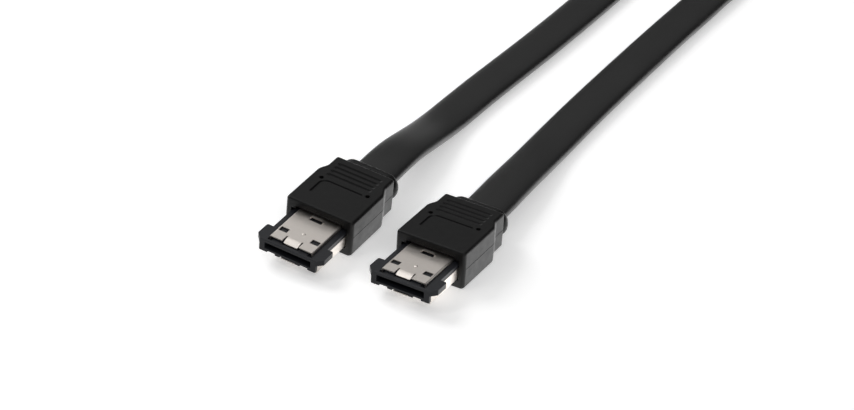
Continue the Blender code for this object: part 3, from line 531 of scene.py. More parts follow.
def carve(bm, steps, rounding=0.0):
    """Joins a solid with others or cuts them out of it, in turn, and rounds the edges left."""
    blank = new_object("blank", mesh_of(bm, "blank"))
    tools = []
    for operation, tool_bm in steps:
        tool = new_object("tool", mesh_of(tool_bm, "tool"))
        modifier = blank.modifiers.new("step", "BOOLEAN")
        modifier.operation = operation
        modifier.solver = "EXACT"
        modifier.object = tool
        tools.append(tool)
    made = blank.evaluated_get(bpy.context.evaluated_depsgraph_get())
    carved = bmesh.new()
    carved.from_mesh(made.to_mesh())
    for obj in [blank, *tools]:
        bpy.data.objects.remove(obj)
    bmesh.ops.remove_doubles(carved, verts=carved.verts, dist=WELD)
    if rounding:
        round_edges(carved, rounding, True)
    return steady_normals(mesh_of(carved, "carved"))


def on_both_plugs(name, mesh, material, stands_for):
    """Sets one drawn piece in both plugs, and keeps its drawn place for the material's pattern."""
    for count, (label, lie) in enumerate(PLUG_LIES.items()):
        piece_mesh = mesh.copy()
        drawn = piece_mesh.attributes.new("drawn_place", "FLOAT_VECTOR", "POINT")
        for vertex, kept in zip(piece_mesh.vertices, drawn.data):
            kept.vector = vertex.co + Vector((count * PATTERN_SHIFT, 0.0, 0.0))
        piece_mesh.transform(
            Matrix.Translation(lie["place"]) @ Matrix.Rotation(math.radians(lie["pitch"]), 4, "X")
            @ Matrix.Rotation(math.radians(lie["roll"]), 4, "Y")
        )
        piece_mesh.materials.append(material)
        piece = new_object(f"{name}_{label}", piece_mesh)
        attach(piece, "root")
        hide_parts(f"{stands_for}_{label}")


# Overmould: flexible black vinyl shot round the plug's core in one go, in a mould of two halves that
# meet on the sides. Its cavity was spark-eroded, which leaves a fine even grain on every face.
BODY_WIDTH = 0.0176
BODY_HEIGHT = 0.0094
BODY_LENGTH = 0.0129
BODY_EDGE = 0.0007
FRONT_EDGE = 0.0004
FRONT_SIDE_EDGE = 0.0008
DRAFT = 0.016
SHOULDER_LENGTH = 0.0032
GRIP_WIDTH = 0.0154
GRIP_LENGTH = 0.0036
GRIP_UNDERCUT = 0.0006
GRIP_END_ROUND = 0.0006
NECK_WIDTH = 0.0128
NECK_HEIGHT = 0.0065
NECK_LENGTH = 0.0011
NECK_FILLET = 0.0002
COLLAR_WIDTH = 0.0147
COLLAR_HEIGHT = 0.0067
COLLAR_LENGTH = 0.0026
COLLAR_CORNER = 0.0030
COLLAR_FRONT_ROUND = 0.0009
COLLAR_BACK_ROUND = 0.0015
CORE_HEIGHT = 0.0047
SEAM_HEIGHT = 0.00515
SEAM_HALF = 0.00007
SEAM_DEPTH = 0.00007
GROOVE_ROWS = (0.01244, 0.01399, 0.01554, 0.01709)
GROOVE_HALF_SPAN = 0.00545
# Finger groove from above the surface to its floor: height, radius, share of the half span
GROOVE_PROFILE = (
    (0.00018, 0.00068, 1.03), (0.0, 0.00047, 1.0), (-0.00006, 0.00040, 0.99), (-0.00014, 0.00035, 0.975),
    (-0.00024, 0.00029, 0.95), (-0.00033, 0.00020, 0.92), (-0.00037, 0.00009, 0.90),
)
PIN_HOLE_X = 0.00607
PIN_HOLE_Y = 0.01044
PIN_HOLE_PROFILE = ((0.0002, 0.00070), (0.0, 0.00057), (-0.00006, 0.00053), (-0.0009, 0.00050))
FIELD_LEFT = -0.0054
FIELD_RIGHT = 0.0049
FIELD_FRONT = 0.0046
FIELD_BACK = 0.0101
FIELD_CORNER = 0.0016
FIELD_LINE_HALF = 0.00030
FIELD_LINE_DEPTH = 0.00034
FIELD_LINE_END = 0.4
# Section of the engraved line: share of its half width, share of its depth below the surface
FIELD_LINE_PROFILE = (
    (-1.4, 0.7), (-1.0, 0.0), (-0.5, -0.8), (0.0, -1.0), (0.5, -0.8), (1.0, 0.0), (1.4, 0.7),
)
CAVITY_GAP = 0.00015
CORE_HALF_WIDTH = 0.0071
CORE_LOW = 0.0021
CORE_HIGH = 0.0068
CORE_DEPTH = 0.0030
BLOCK_HALF_WIDTH = 0.0059
BLOCK_HALF_HEIGHT = 0.0028
BLOCK_BACK = 0.0122
FERRULE_HALF_WIDTH = 0.00575
FERRULE_HALF_HEIGHT = 0.00215
FERRULE_BACK = 0.0175


def body_ring(y, width, low, high, corner, seam_depth):
    """One section of the moulded body, with the nick of the parting line on both sides."""
    half = width / 2
    seam = min(SEAM_HEIGHT, high - corner - 2 * SEAM_HALF)
    nick = [(half, seam - SEAM_HALF), (half - seam_depth, seam), (half, seam + SEAM_HALF)]
    points = []
    for side_x, side_z, start in ((1, 1, 0), (-1, 1, 90), (-1, -1, 180), (1, -1, 270)):
        centre_x = side_x * (half - corner)
        centre_z = high - corner if side_z > 0 else low + corner
        for k in range(ROUND_STEPS + 1):
            angle = math.radians(start + 90 * k / ROUND_STEPS)
            points.append((centre_x + corner * math.cos(angle), centre_z + corner * math.sin(angle)))
        if start == 90:
            points += [(-x, z) for x, z in reversed(nick)]
    points += nick
    return [(x - math.copysign(DRAFT * abs(z - seam), x), y, z) for x, z in points]


def rounded_end(y, width, low, high, corner, least_corner, radius, inwards, side_radius=0.0):
    """Sections that round one end of a stretch over to its sides, from the end face inwards."""
    side_radius = side_radius or radius
    rings = []
    for k in range(ROUND_STEPS + 1):
        angle = math.pi / 2 * k / ROUND_STEPS
        side_inset = side_radius * (1 - math.sin(angle))
        depth = side_radius * (1 - math.cos(angle))
        inset = radius - math.sqrt(radius ** 2 - max(0.0, radius - depth) ** 2)
        rings.append(body_ring(
            y + inwards * depth, width - 2 * side_inset, low + inset, high - inset,
            max(corner - inset, least_corner), SEAM_DEPTH * k / ROUND_STEPS,
        ))
    return rings


def field_line():
    """A shallow engraved line round two sides of the bare field on top, tapered at both ends."""
    path = [(FIELD_LEFT, FIELD_FRONT), (FIELD_LEFT, FIELD_FRONT + FIELD_LINE_HALF)]
    for k in range(ROUND_STEPS + 1):
        angle = math.radians(180 - 90 * k / ROUND_STEPS)
        path.append((FIELD_LEFT + FIELD_CORNER * (1 + math.cos(angle)),
                     FIELD_BACK - FIELD_CORNER * (1 - math.sin(angle))))
    path += [(FIELD_RIGHT - FIELD_LINE_HALF, FIELD_BACK), (FIELD_RIGHT, FIELD_BACK)]
    rings = []
    for k, (x, y) in enumerate(path):
        along = (Vector(path[min(k + 1, len(path) - 1)]) - Vector(path[max(k - 1, 0)])).normalized()
        share = FIELD_LINE_END if k in (0, len(path) - 1) else 1.0
        ring = []
        for reach, depth in FIELD_LINE_PROFILE:
            off = reach * FIELD_LINE_HALF * share
            ring.append((x - along.y * off, y + along.x * off,
                         BODY_HEIGHT + depth * FIELD_LINE_DEPTH * (share if depth < 0 else 1.0)))
        rings.append(ring)
    return stack(bmesh.new(), rings)


def finger_grooves():
    """Four grooves across the top of the grip, round at the ends and soft at the lips."""
    bm = bmesh.new()
    for y in GROOVE_ROWS:
        rings = []
        for height, radius, share in GROOVE_PROFILE:
            ring = []
            for k in range(4 * ROUND_STEPS):
                angle = math.radians(-90 + 360 * (k + 0.5) / (4 * ROUND_STEPS))
                end = math.copysign(GROOVE_HALF_SPAN * share, math.cos(angle))
                ring.append((end + radius * math.cos(angle), y + radius * math.sin(angle),
                             BODY_HEIGHT + height))
            rings.append(ring)
        stack(bm, rings)
    return bm


def room(half_width, front, back, low, high):
    """The room for a block inside the moulding, with the gap at its sides and back."""
    return block(((-half_width - CAVITY_GAP, front, low - CAVITY_GAP),
                  (half_width + CAVITY_GAP, back + CAVITY_GAP, high + CAVITY_GAP)))


def pin_holes():
    """Two blind holes that the mould's core pins leave beside the field."""
    bm = bmesh.new()
    for side in (-1, 1):
        stack(bm, [circle(side * PIN_HOLE_X, PIN_HOLE_Y, BODY_HEIGHT + height, radius)
                   for height, radius in PIN_HOLE_PROFILE])
    return bm


grip_end = BODY_LENGTH + SHOULDER_LENGTH + GRIP_LENGTH
collar_front = grip_end + NECK_LENGTH
plug_rear = collar_front + COLLAR_LENGTH
body_rings = rounded_end(0.0, BODY_WIDTH, 0.0, BODY_HEIGHT, BODY_EDGE, FRONT_EDGE, FRONT_EDGE, 1,
                         FRONT_SIDE_EDGE)
for step in range(2 * ROUND_STEPS + 1):
    share = step / (2 * ROUND_STEPS)
    waist = share * share * (3 - 2 * share)
    body_rings.append(body_ring(
        BODY_LENGTH + SHOULDER_LENGTH * share, BODY_WIDTH + (GRIP_WIDTH - BODY_WIDTH) * waist,
        GRIP_UNDERCUT * waist, BODY_HEIGHT, BODY_EDGE, SEAM_DEPTH,
    ))
body_rings += reversed(rounded_end(grip_end, GRIP_WIDTH, GRIP_UNDERCUT, BODY_HEIGHT, BODY_EDGE,
                                   FRONT_EDGE, GRIP_END_ROUND, -1))
neck_low, neck_high = CORE_HEIGHT - NECK_HEIGHT / 2, CORE_HEIGHT + NECK_HEIGHT / 2
for y in (grip_end + NECK_FILLET, collar_front - NECK_FILLET):
    body_rings.append(body_ring(y, NECK_WIDTH, neck_low, neck_high, BODY_EDGE, SEAM_DEPTH))
collar_low, collar_high = CORE_HEIGHT - COLLAR_HEIGHT / 2, CORE_HEIGHT + COLLAR_HEIGHT / 2
body_rings += rounded_end(collar_front, COLLAR_WIDTH, collar_low, collar_high, COLLAR_CORNER, BODY_EDGE,
                          COLLAR_FRONT_ROUND, 1)
body_rings += reversed(rounded_end(plug_rear, COLLAR_WIDTH, collar_low, collar_high, COLLAR_CORNER,
                                   BODY_EDGE, COLLAR_BACK_ROUND, -1))
core_room = room(CORE_HALF_WIDTH, -BODY_LENGTH, CORE_DEPTH, CORE_LOW, CORE_HIGH)
block_room = room(BLOCK_HALF_WIDTH, 0.0, BLOCK_BACK,
                  CORE_HEIGHT - BLOCK_HALF_HEIGHT, CORE_HEIGHT + BLOCK_HALF_HEIGHT)
ferrule_room = room(FERRULE_HALF_WIDTH, BLOCK_BACK, FERRULE_BACK,
                    CORE_HEIGHT - FERRULE_HALF_HEIGHT, CORE_HEIGHT + FERRULE_HALF_HEIGHT)
passage_bm = section_bmesh(JACKET_WIDTH + CAVITY_GAP, JACKET_THICKNESS + CAVITY_GAP)
sweep(passage_bm, [Vector((0.0, FERRULE_BACK, CORE_HEIGHT, 0.0)),
                   Vector((0.0, plug_rear + CAVITY_GAP, CORE_HEIGHT, 0.0))])
overmould_mesh = carve(stack(bmesh.new(), body_rings), [("DIFFERENCE", room_bm) for room_bm in (
    core_room, block_room, ferrule_room, passage_bm, finger_grooves(), field_line(), pin_holes(),
)])

# Vinyl from a spark-eroded mould: dull and even, with a fine grain and a slow mottle
VINYL_BLACK = "#0c0c0c"
VINYL_GRAIN = 0.00022
VINYL_MOTTLE = 0.0016

moulded_vinyl = bpy.data.materials.new("moulded_vinyl")
tree = new_tree(moulded_vinyl)
place = add_node(tree, "Attribute", attribute_name="drawn_place").outputs["Vector"]
grain = add_node(tree, "TexNoise", {"Vector": place, "Scale": 1 / VINYL_GRAIN, "Detail": 2.0})
mottle = add_node(tree, "TexNoise", {"Vector": place, "Scale": 1 / VINYL_MOTTLE, "Detail": 3.0})
rough = add_node(tree, "MapRange", {
    **NOISE_BAND, "Value": mottle.outputs[0], "To Min": 0.42, "To Max": 0.50,
})
bump = add_node(tree, "Bump", {"Strength": 0.45, "Distance": 0.00003, "Height": grain.outputs[0]})
bump = add_node(tree, "Bump", {
    "Strength": 0.3, "Distance": 0.00004, "Height": mottle.outputs[0], "Normal": bump.outputs[0],
})
shader = add_node(tree, "BsdfPrincipled", {
    "Base Color": linear(VINYL_BLACK), "IOR": 1.5, "Specular IOR Level": 0.22,
    "Roughness": rough.outputs[0], "Normal": bump.outputs[0],
})
add_node(tree, "OutputMaterial", {"Surface": shader.outputs[0]})
on_both_plugs("moulded_body", overmould_mesh, moulded_vinyl, "overmould")


# Nose: the plug's insulator, one hard black moulding held in the body. A front wall with feet and pads
# holds the slot, and a flat deck above spreads into an ear on each side. The shields lie on and below it.
NOSE_FRONT = -0.0126
NOSE_HALF_WIDTH = 0.00675
NOSE_LOW = 0.00315
WALL_HALF_WIDTH = 0.0073
WALL_BACK = -0.0118
WALL_LOW = 0.0030
WALL_CORNER = 0.00015
FOOT_WIDTH = 0.00205
FOOT_GAP = 0.00205
FOOT_RISE = 0.0004
PAD_WIDTH = 0.0012
DECK_HALF_WIDTH = 0.00705
DECK_LOW = 0.0052
DECK_TOP = 0.00615
EAR_HALF_SPAN = 0.0086
EAR_INNER = 0.0072
EAR_FRONT = -0.0111
EAR_BACK = -0.0074
EAR_LOW = 0.00485
EAR_CORNER = 0.0003
LIP_CHAMFER = 0.00015
BED_HALF_WIDTH = 0.00515
BED_HEIGHT = 0.0064
BED_FRONT = -0.0112
PRONG_ROOM_SIDES = (0.0051, 0.00565)
PRONG_ROOM_LOW = 0.0056
PRONG_ROOM_BACK = -0.0106
SLOT_HALF_WIDTH = 0.00595
SLOT_LOW = 0.00388
SLOT_HIGH = 0.00548
SLOT_BACK = -0.0046
POCKET_FRONT = -0.01195
POCKET_BACK = -0.0111
POCKET_INNER = 0.00455
POCKET_OUTER = 0.00575
POCKET_LOW = 0.0057
TONGUE_ROOM_HALF = 0.00215
TONGUE_ROOM_FRONT = -0.0117
TONGUE_ROOM_BACK = -0.00925
TONGUE_ROOM_LOW = 0.00575
CONTACT_COUNT = 7
CONTACT_PITCH = 0.00127
CONTACT_ROOM_HALF = 0.00035
CONTACT_ROOM_FRONT = -0.0101
CONTACT_ROOM_LOW = 0.00356
NOSE_ROUNDING = 0.00008
BEYOND = 0.0004


def upright(outline, low, high):
    """An upright block from its plan, whose points are x and y."""
    return stack(bmesh.new(), [[(x, y, z) for x, y in outline] for z in (low, high)])


foot_inner = WALL_HALF_WIDTH - FOOT_WIDTH
pad_outer = foot_inner - FOOT_GAP
pad_inner = pad_outer - PAD_WIDTH
wall_right = [
    (pad_inner, WALL_LOW + FOOT_RISE), (pad_inner, WALL_LOW), (pad_outer, WALL_LOW),
    (pad_outer, WALL_LOW + FOOT_RISE), (foot_inner, WALL_LOW + FOOT_RISE), (foot_inner, WALL_LOW),
    (WALL_HALF_WIDTH - WALL_CORNER, WALL_LOW), (WALL_HALF_WIDTH, WALL_LOW + WALL_CORNER),
    (WALL_HALF_WIDTH, DECK_TOP),
]
nose_wall = bar_along(wall_right + twin(wall_right), NOSE_FRONT, WALL_BACK)
ear_edge = [
    (WALL_HALF_WIDTH, NOSE_FRONT), (EAR_HALF_SPAN, EAR_FRONT), (EAR_HALF_SPAN, EAR_BACK - EAR_CORNER),
    (EAR_HALF_SPAN - EAR_CORNER, EAR_BACK),
]
deck_right = ear_edge + [(DECK_HALF_WIDTH, EAR_BACK), (DECK_HALF_WIDTH, CORE_DEPTH)]
deck = upright(deck_right + twin(deck_right), DECK_LOW, DECK_TOP)
hook_right = ear_edge + [(EAR_INNER, EAR_BACK), (EAR_INNER, (NOSE_FRONT + WALL_BACK) / 2)]
nose_body = block(((-NOSE_HALF_WIDTH, WALL_BACK - BEYOND, NOSE_LOW),
                   (NOSE_HALF_WIDTH, CORE_DEPTH, DECK_LOW + BEYOND)))
bed = block(((-BED_HALF_WIDTH, BED_FRONT, DECK_TOP - BEYOND), (BED_HALF_WIDTH, CORE_DEPTH, BED_HEIGHT)))
lip = bar_across([(NOSE_FRONT - LIP_CHAMFER, DECK_TOP - 2 * LIP_CHAMFER),
                  (NOSE_FRONT + 2 * LIP_CHAMFER, DECK_TOP + LIP_CHAMFER),
                  (NOSE_FRONT - LIP_CHAMFER, DECK_TOP + LIP_CHAMFER)], EAR_HALF_SPAN)
prong_room = block(*both_sides(((PRONG_ROOM_SIDES[0], BED_FRONT - BEYOND, PRONG_ROOM_LOW),
                                (PRONG_ROOM_SIDES[1], PRONG_ROOM_BACK, BED_HEIGHT + BEYOND))))
pockets = block(*both_sides(((POCKET_INNER, POCKET_FRONT, POCKET_LOW),
                             (POCKET_OUTER, POCKET_BACK, BED_HEIGHT + BEYOND))))
tongue_room = block(((-TONGUE_ROOM_HALF, TONGUE_ROOM_FRONT, TONGUE_ROOM_LOW),
                     (TONGUE_ROOM_HALF, TONGUE_ROOM_BACK, BED_HEIGHT + BEYOND)))
slot_room = block(((-SLOT_HALF_WIDTH, NOSE_FRONT - BEYOND, SLOT_LOW),
                   (SLOT_HALF_WIDTH, SLOT_BACK, SLOT_HIGH)))
contact_xs = [(k - (CONTACT_COUNT - 1) / 2) * CONTACT_PITCH for k in range(CONTACT_COUNT)]
contact_rooms = block(*[((x - CONTACT_ROOM_HALF, CONTACT_ROOM_FRONT, CONTACT_ROOM_LOW),
                         (x + CONTACT_ROOM_HALF, CORE_DEPTH + BEYOND, SLOT_LOW + BEYOND / 4))
                        for x in contact_xs])
hooks = [upright(outline, EAR_LOW, DECK_LOW + BEYOND) for outline in (hook_right, twin(hook_right))]
nose_steps = [("UNION", form) for form in (nose_wall, nose_body, *hooks, bed)]
nose_cuts = (lip, prong_room, pockets, tongue_room, slot_room, contact_rooms)
nose_steps += [("DIFFERENCE", form) for form in nose_cuts]
nose_mesh = carve(deck, nose_steps, NOSE_ROUNDING)

# Hard plastic from a polished mould: a soft cool sheen, faintly streaked where it flowed
NOSE_BLACK = "#1e1f23"
NOSE_FLOW = 0.0009
FLOW_STRETCH = 3

hard_plastic = bpy.data.materials.new("hard_moulded_plastic")
tree = new_tree(hard_plastic)
place = add_node(tree, "Attribute", attribute_name="drawn_place").outputs["Vector"]
stretched = add_node(tree, "Mapping", {
    "Vector": place, "Scale": (1 / NOSE_FLOW, FLOW_STRETCH / NOSE_FLOW, FLOW_STRETCH / NOSE_FLOW),
})
flow = add_node(tree, "TexNoise", {"Vector": stretched.outputs[0], "Scale": 1.0, "Detail": 3.0})
rough = add_node(tree, "MapRange", {
    **NOISE_BAND, "Value": flow.outputs[0], "To Min": 0.32, "To Max": 0.46,
})
bump = add_node(tree, "Bump", {"Strength": 0.25, "Distance": 0.00002, "Height": flow.outputs[0]})
shader = add_node(tree, "BsdfPrincipled", {
    "Base Color": linear(NOSE_BLACK), "IOR": 1.53, "Specular IOR Level": 0.3,
    "Roughness": rough.outputs[0], "Normal": bump.outputs[0],
})
add_node(tree, "OutputMaterial", {"Surface": shader.outputs[0]})
on_both_plugs("nose_insulator", nose_mesh, hard_plastic, "insulator")


# Upper shield: stamped from nickel-plated sheet with its long edges folded down. It has two windows, a
# lanced bridge at the back, a pressed dimple, a sprung tongue at the front and a prong at each front corner.
SHEET = 0.0003
SHIELD_HALF_WIDTH = 0.00555
SHIELD_TOP = 0.0068
SHIELD_FRONT = -0.01125
SHIELD_BACK = 0.0024
SHIELD_BEND = 0.00036
FLANGE_LOW = 0.00622
PRONG_LOW = 0.00578
PRONG_LENGTH = 0.00045
WINDOW_HALF = (0.00105, 0.00074)
WINDOW_MIDDLE = (0.00405, -0.00773)
TONGUE_X = -0.0002
TONGUE_HALF = 0.0018
SLIT = 0.00036
TONGUE_ROOT = -0.00925
TONGUE_DROP = 0.00052
TONGUE_LEVEL = 0.25
TONGUE_CREASE = 0.35
TONGUE_CORNER = 0.00018
BRIDGE_MIDDLE = -0.00045
BRIDGE_HALF = (0.0019, 0.0003)
BRIDGE_RISE = 0.00045
BRIDGE_RAMP = 0.30
BRIDGE_OPENING = (-0.00150, -0.00010)
BRIDGE_OPENING_SHARE = 0.82
DIMPLE_X = 0.00035
DIMPLE_Y = -0.0066
# Dimple from inside the sheet to its top: height, radius
DIMPLE_PROFILE = (
    (-0.00020, 0.00042), (0.0, 0.00040), (0.00007, 0.00036), (0.00012, 0.00026), (0.00015, 0.00012),
)
SHEET_ROUNDING = 0.00003


def folded_sheet(flange_low):
    """Front view of the sheet with both edges folded down, as one closed outline."""
    outer, inner = [], []
    for k in range(ROUND_STEPS + 1):
        angle = math.radians(90 * k / ROUND_STEPS)
        for points, radius in ((outer, SHIELD_BEND), (inner, SHIELD_BEND - SHEET)):
            points.append((SHIELD_HALF_WIDTH - SHIELD_BEND + radius * math.cos(angle),
                           SHIELD_TOP - SHIELD_BEND + radius * math.sin(angle)))
    right_outer = [(SHIELD_HALF_WIDTH, flange_low)] + outer
    right_inner = [(SHIELD_HALF_WIDTH - SHEET, flange_low)] + inner
    return right_outer + twin(right_outer) + twin(right_inner[::-1]) + right_inner[::-1]


def spring_tongue():
    """The tongue between the two slits, curving down to its tip."""
    rings = []
    for k in range(2 * ROUND_STEPS + 1):
        share = k / (2 * ROUND_STEPS)
        y = TONGUE_ROOT + SLIT + (SHIELD_FRONT - TONGUE_ROOT - SLIT) * share
        bent = max(0.0, share - TONGUE_LEVEL) / (1 - TONGUE_LEVEL)
        drop = TONGUE_DROP * bent * (bent + TONGUE_CREASE * (1 - bent))
        half = TONGUE_HALF - (TONGUE_CORNER if share == 1.0 else 0.0)
        rings.append([(TONGUE_X + x, y, SHIELD_TOP - drop - low) for x, low in
                      ((half, 0.0), (-half, 0.0), (-half, SHEET), (half, SHEET))])
    return stack(bmesh.new(), rings)


def lanced_bridge():
    """The strip pushed up out of the sheet behind the windows."""
    rings = []
    reach, half = BRIDGE_HALF
    for k in range(4 * ROUND_STEPS + 1):
        share = -1 + 2 * k / (4 * ROUND_STEPS)
        ramp = min(1.0, (1 - abs(share)) / BRIDGE_RAMP)
        lift = BRIDGE_RISE * ramp * ramp * (3 - 2 * ramp)
        rings.append([(reach * share, BRIDGE_MIDDLE + y, SHIELD_TOP + lift - low) for y, low in
                      ((half, 0.0), (-half, 0.0), (-half, SHEET), (half, SHEET))])
    return stack(bmesh.new(), rings)


sheet_low, sheet_high = SHIELD_TOP - 2 * SHEET, SHIELD_TOP + 2 * SHEET
slits = block(((TONGUE_X - TONGUE_HALF - SLIT, SHIELD_FRONT - BEYOND, sheet_low),
               (TONGUE_X + TONGUE_HALF + SLIT, TONGUE_ROOT, sheet_high)))
windows = block(*both_sides((
    (WINDOW_MIDDLE[0] - WINDOW_HALF[0], WINDOW_MIDDLE[1] - WINDOW_HALF[1], sheet_low),
    (WINDOW_MIDDLE[0] + WINDOW_HALF[0], WINDOW_MIDDLE[1] + WINDOW_HALF[1], sheet_high),
)))
opening_half = BRIDGE_HALF[0] * BRIDGE_OPENING_SHARE
bridge_room = block(((-opening_half, BRIDGE_OPENING[0], sheet_low),
                     (opening_half, BRIDGE_OPENING[1], sheet_high)))
dimple = stack(bmesh.new(), [circle(DIMPLE_X, DIMPLE_Y, SHIELD_TOP + height, radius)
                             for height, radius in DIMPLE_PROFILE])
prongs = block(*both_sides(((SHIELD_HALF_WIDTH - SHEET, SHIELD_FRONT, PRONG_LOW),
                            (SHIELD_HALF_WIDTH, SHIELD_FRONT + PRONG_LENGTH, FLANGE_LOW + SHEET))))
shield_mesh = carve(bar_along(folded_sheet(FLANGE_LOW), SHIELD_FRONT, SHIELD_BACK), [
    ("UNION", prongs), ("DIFFERENCE", slits), ("UNION", spring_tongue()), ("DIFFERENCE", windows),
    ("DIFFERENCE", bridge_room), ("UNION", lanced_bridge()), ("UNION", dimple),
], SHEET_ROUNDING)

# Nickel plate on rolled steel: a warm grey mirror, blurred by rolling lines and handling marks
NICKEL = "#e2dcd6"
NICKEL_DULL = "#dad3cc"
ROLLED_LINE = 0.00006
ROLLED_LENGTH = 0.004
HANDLING_MARK = 0.0012

plated_sheet = bpy.data.materials.new("nickel_plated_sheet")
tree = new_tree(plated_sheet)
place = add_node(tree, "Attribute", attribute_name="drawn_place").outputs["Vector"]
rolled = add_node(tree, "Mapping", {
    "Vector": place, "Scale": (1 / ROLLED_LINE, 1 / ROLLED_LENGTH, 1 / ROLLED_LINE),
})
lines = add_node(tree, "TexNoise", {"Vector": rolled.outputs[0], "Scale": 1.0, "Detail": 2.0})
marks = add_node(tree, "TexNoise", {"Vector": place, "Scale": 1 / HANDLING_MARK, "Detail": 4.0})
rough = add_node(tree, "MapRange", {
    **NOISE_BAND, "Value": marks.outputs[0], "To Min": 0.38, "To Max": 0.44,
})
tint = add_node(tree, "MixRGB", {0: marks.outputs[0], 1: linear(NICKEL), 2: linear(NICKEL_DULL)})
bump = add_node(tree, "Bump", {"Strength": 0.06, "Distance": 0.000003, "Height": lines.outputs[0]})
shader = add_node(tree, "BsdfPrincipled", {
    "Base Color": tint.outputs[0], "Metallic": 1.0, "Roughness": rough.outputs[0],
    "Normal": bump.outputs[0],
})
add_node(tree, "OutputMaterial", {"Surface": shader.outputs[0]})
on_both_plugs("upper_shield", shield_mesh, plated_sheet, "shield_plate")


# Lower shield: a folded pan of the same sheet under the nose. Its sides stand up to the deck and run on
# to the front wall inside the ears, and a tongue reaches forward between the wall's pads.
PAN_SHEET = 0.00025
PAN_HALF_WIDTH = 0.0071
PAN_LOW = 0.0021
PAN_FRONT = -0.0087
PAN_BACK = 0.0022
PAN_BEND = 0.00045
SIDE_TOP = 0.0051
SIDE_FRONT = -0.0117
PAN_TONGUE_HALF = 0.0018
PAN_TONGUE_TIP = -0.0124
PAN_TONGUE_HEIGHT = 0.00270

pan_right = [(PAN_HALF_WIDTH - PAN_SHEET, SIDE_TOP), (PAN_HALF_WIDTH, SIDE_TOP)]
pan_inside = []
for k in range(ROUND_STEPS + 1):
    angle = math.radians(-90 * k / ROUND_STEPS)
    for points, radius in ((pan_right, PAN_BEND), (pan_inside, PAN_BEND - PAN_SHEET)):
        points.append((PAN_HALF_WIDTH - PAN_BEND + radius * math.cos(angle),
                       PAN_LOW + PAN_BEND + radius * math.sin(angle)))
pan_outline = pan_right + twin(pan_right) + twin(pan_inside[::-1]) + pan_inside[::-1]
no_floor = block(((PAN_SHEET - PAN_HALF_WIDTH, SIDE_FRONT - BEYOND, PAN_LOW - BEYOND),
                  (PAN_HALF_WIDTH - PAN_SHEET, PAN_FRONT, PAN_LOW + PAN_BEND)))
tongue_rise = PAN_TONGUE_HEIGHT - PAN_LOW
pan_tongue = bar_across([
    (PAN_FRONT + BEYOND, PAN_LOW), (PAN_FRONT - BEYOND / 2, PAN_LOW),
    (PAN_FRONT - BEYOND / 2 - tongue_rise, PAN_TONGUE_HEIGHT), (PAN_TONGUE_TIP, PAN_TONGUE_HEIGHT),
    (PAN_TONGUE_TIP, PAN_TONGUE_HEIGHT + PAN_SHEET),
    (PAN_FRONT - BEYOND / 2 - tongue_rise, PAN_TONGUE_HEIGHT + PAN_SHEET),
    (PAN_FRONT - BEYOND / 2, PAN_LOW + PAN_SHEET), (PAN_FRONT + BEYOND, PAN_LOW + PAN_SHEET),
], PAN_TONGUE_HALF)
pan_mesh = carve(bar_along(pan_outline, SIDE_FRONT, PAN_BACK),
                 [("DIFFERENCE", no_floor), ("UNION", pan_tongue)], SHEET_ROUNDING)
on_both_plugs("lower_shield", pan_mesh, plated_sheet, "shield_shell")


# Inside the plugs: gilded spring contacts deep in the slot, a nylon block round four insulated wires,
# and a tinned copper ferrule. The photograph shows none of them, so they keep the plain solids' shapes.
INNER_FINISHES = {
    "contact": {"colour": "#d9b25c", "metallic": 1.0, "rough": (0.20, 0.30), "scale": 0.0004},
    "inner_block": {"colour": "#d8d4c6", "metallic": 0.0, "rough": (0.42, 0.55), "scale": 0.0008},
    "ferrule": {"colour": "#b9b4aa", "metallic": 1.0, "rough": (0.30, 0.45), "scale": 0.0006},
    "wire": {"colour": "#2e4a86", "metallic": 0.0, "rough": (0.35, 0.45), "scale": 0.0005},
}

for kind, finish in INNER_FINISHES.items():
    inner_finish = bpy.data.materials.new(kind + "_finish")
    tree = new_tree(inner_finish)
    place = add_node(tree, "TexCoord").outputs["Object"]
    wear = add_node(tree, "TexNoise", {"Vector": place, "Scale": 1 / finish["scale"], "Detail": 3.0})
    rough = add_node(tree, "MapRange", {
        **NOISE_BAND, "Value": wear.outputs[0], "To Min": finish["rough"][0],
        "To Max": finish["rough"][1],
    })
    bump = add_node(tree, "Bump", {"Strength": 0.2, "Distance": 0.00001, "Height": wear.outputs[0]})
    shader = add_node(tree, "BsdfPrincipled", {
        "Base Color": linear(finish["colour"]), "Metallic": finish["metallic"],
        "Roughness": rough.outputs[0], "Normal": bump.outputs[0],
    })
    add_node(tree, "OutputMaterial", {"Surface": shader.outputs[0]})
    for obj in bpy.data.objects:
        if obj.name.startswith(kind + "_") and obj.type == "MESH":
            for place_in_mesh in obj.material_slots:
                place_in_mesh.material = inner_finish


# Strap: black hook-and-loop tape wound once round the hank's four runs and closed over itself on top.
# Its face is a felt of fine loops, woven on a ribbed ground and cut round at the free end.
TAPE_WIDTH = 0.0100
TAPE_THICKNESS = 0.0008
TAPE_CLEARANCE = 0.00012
TAPE_BEND = 0.0012
TAPE_START_X = 0.0040
TAPE_END_X = -0.0045
TAPE_END_ROUND = 0.0030
TAPE_STEP = 0.0004

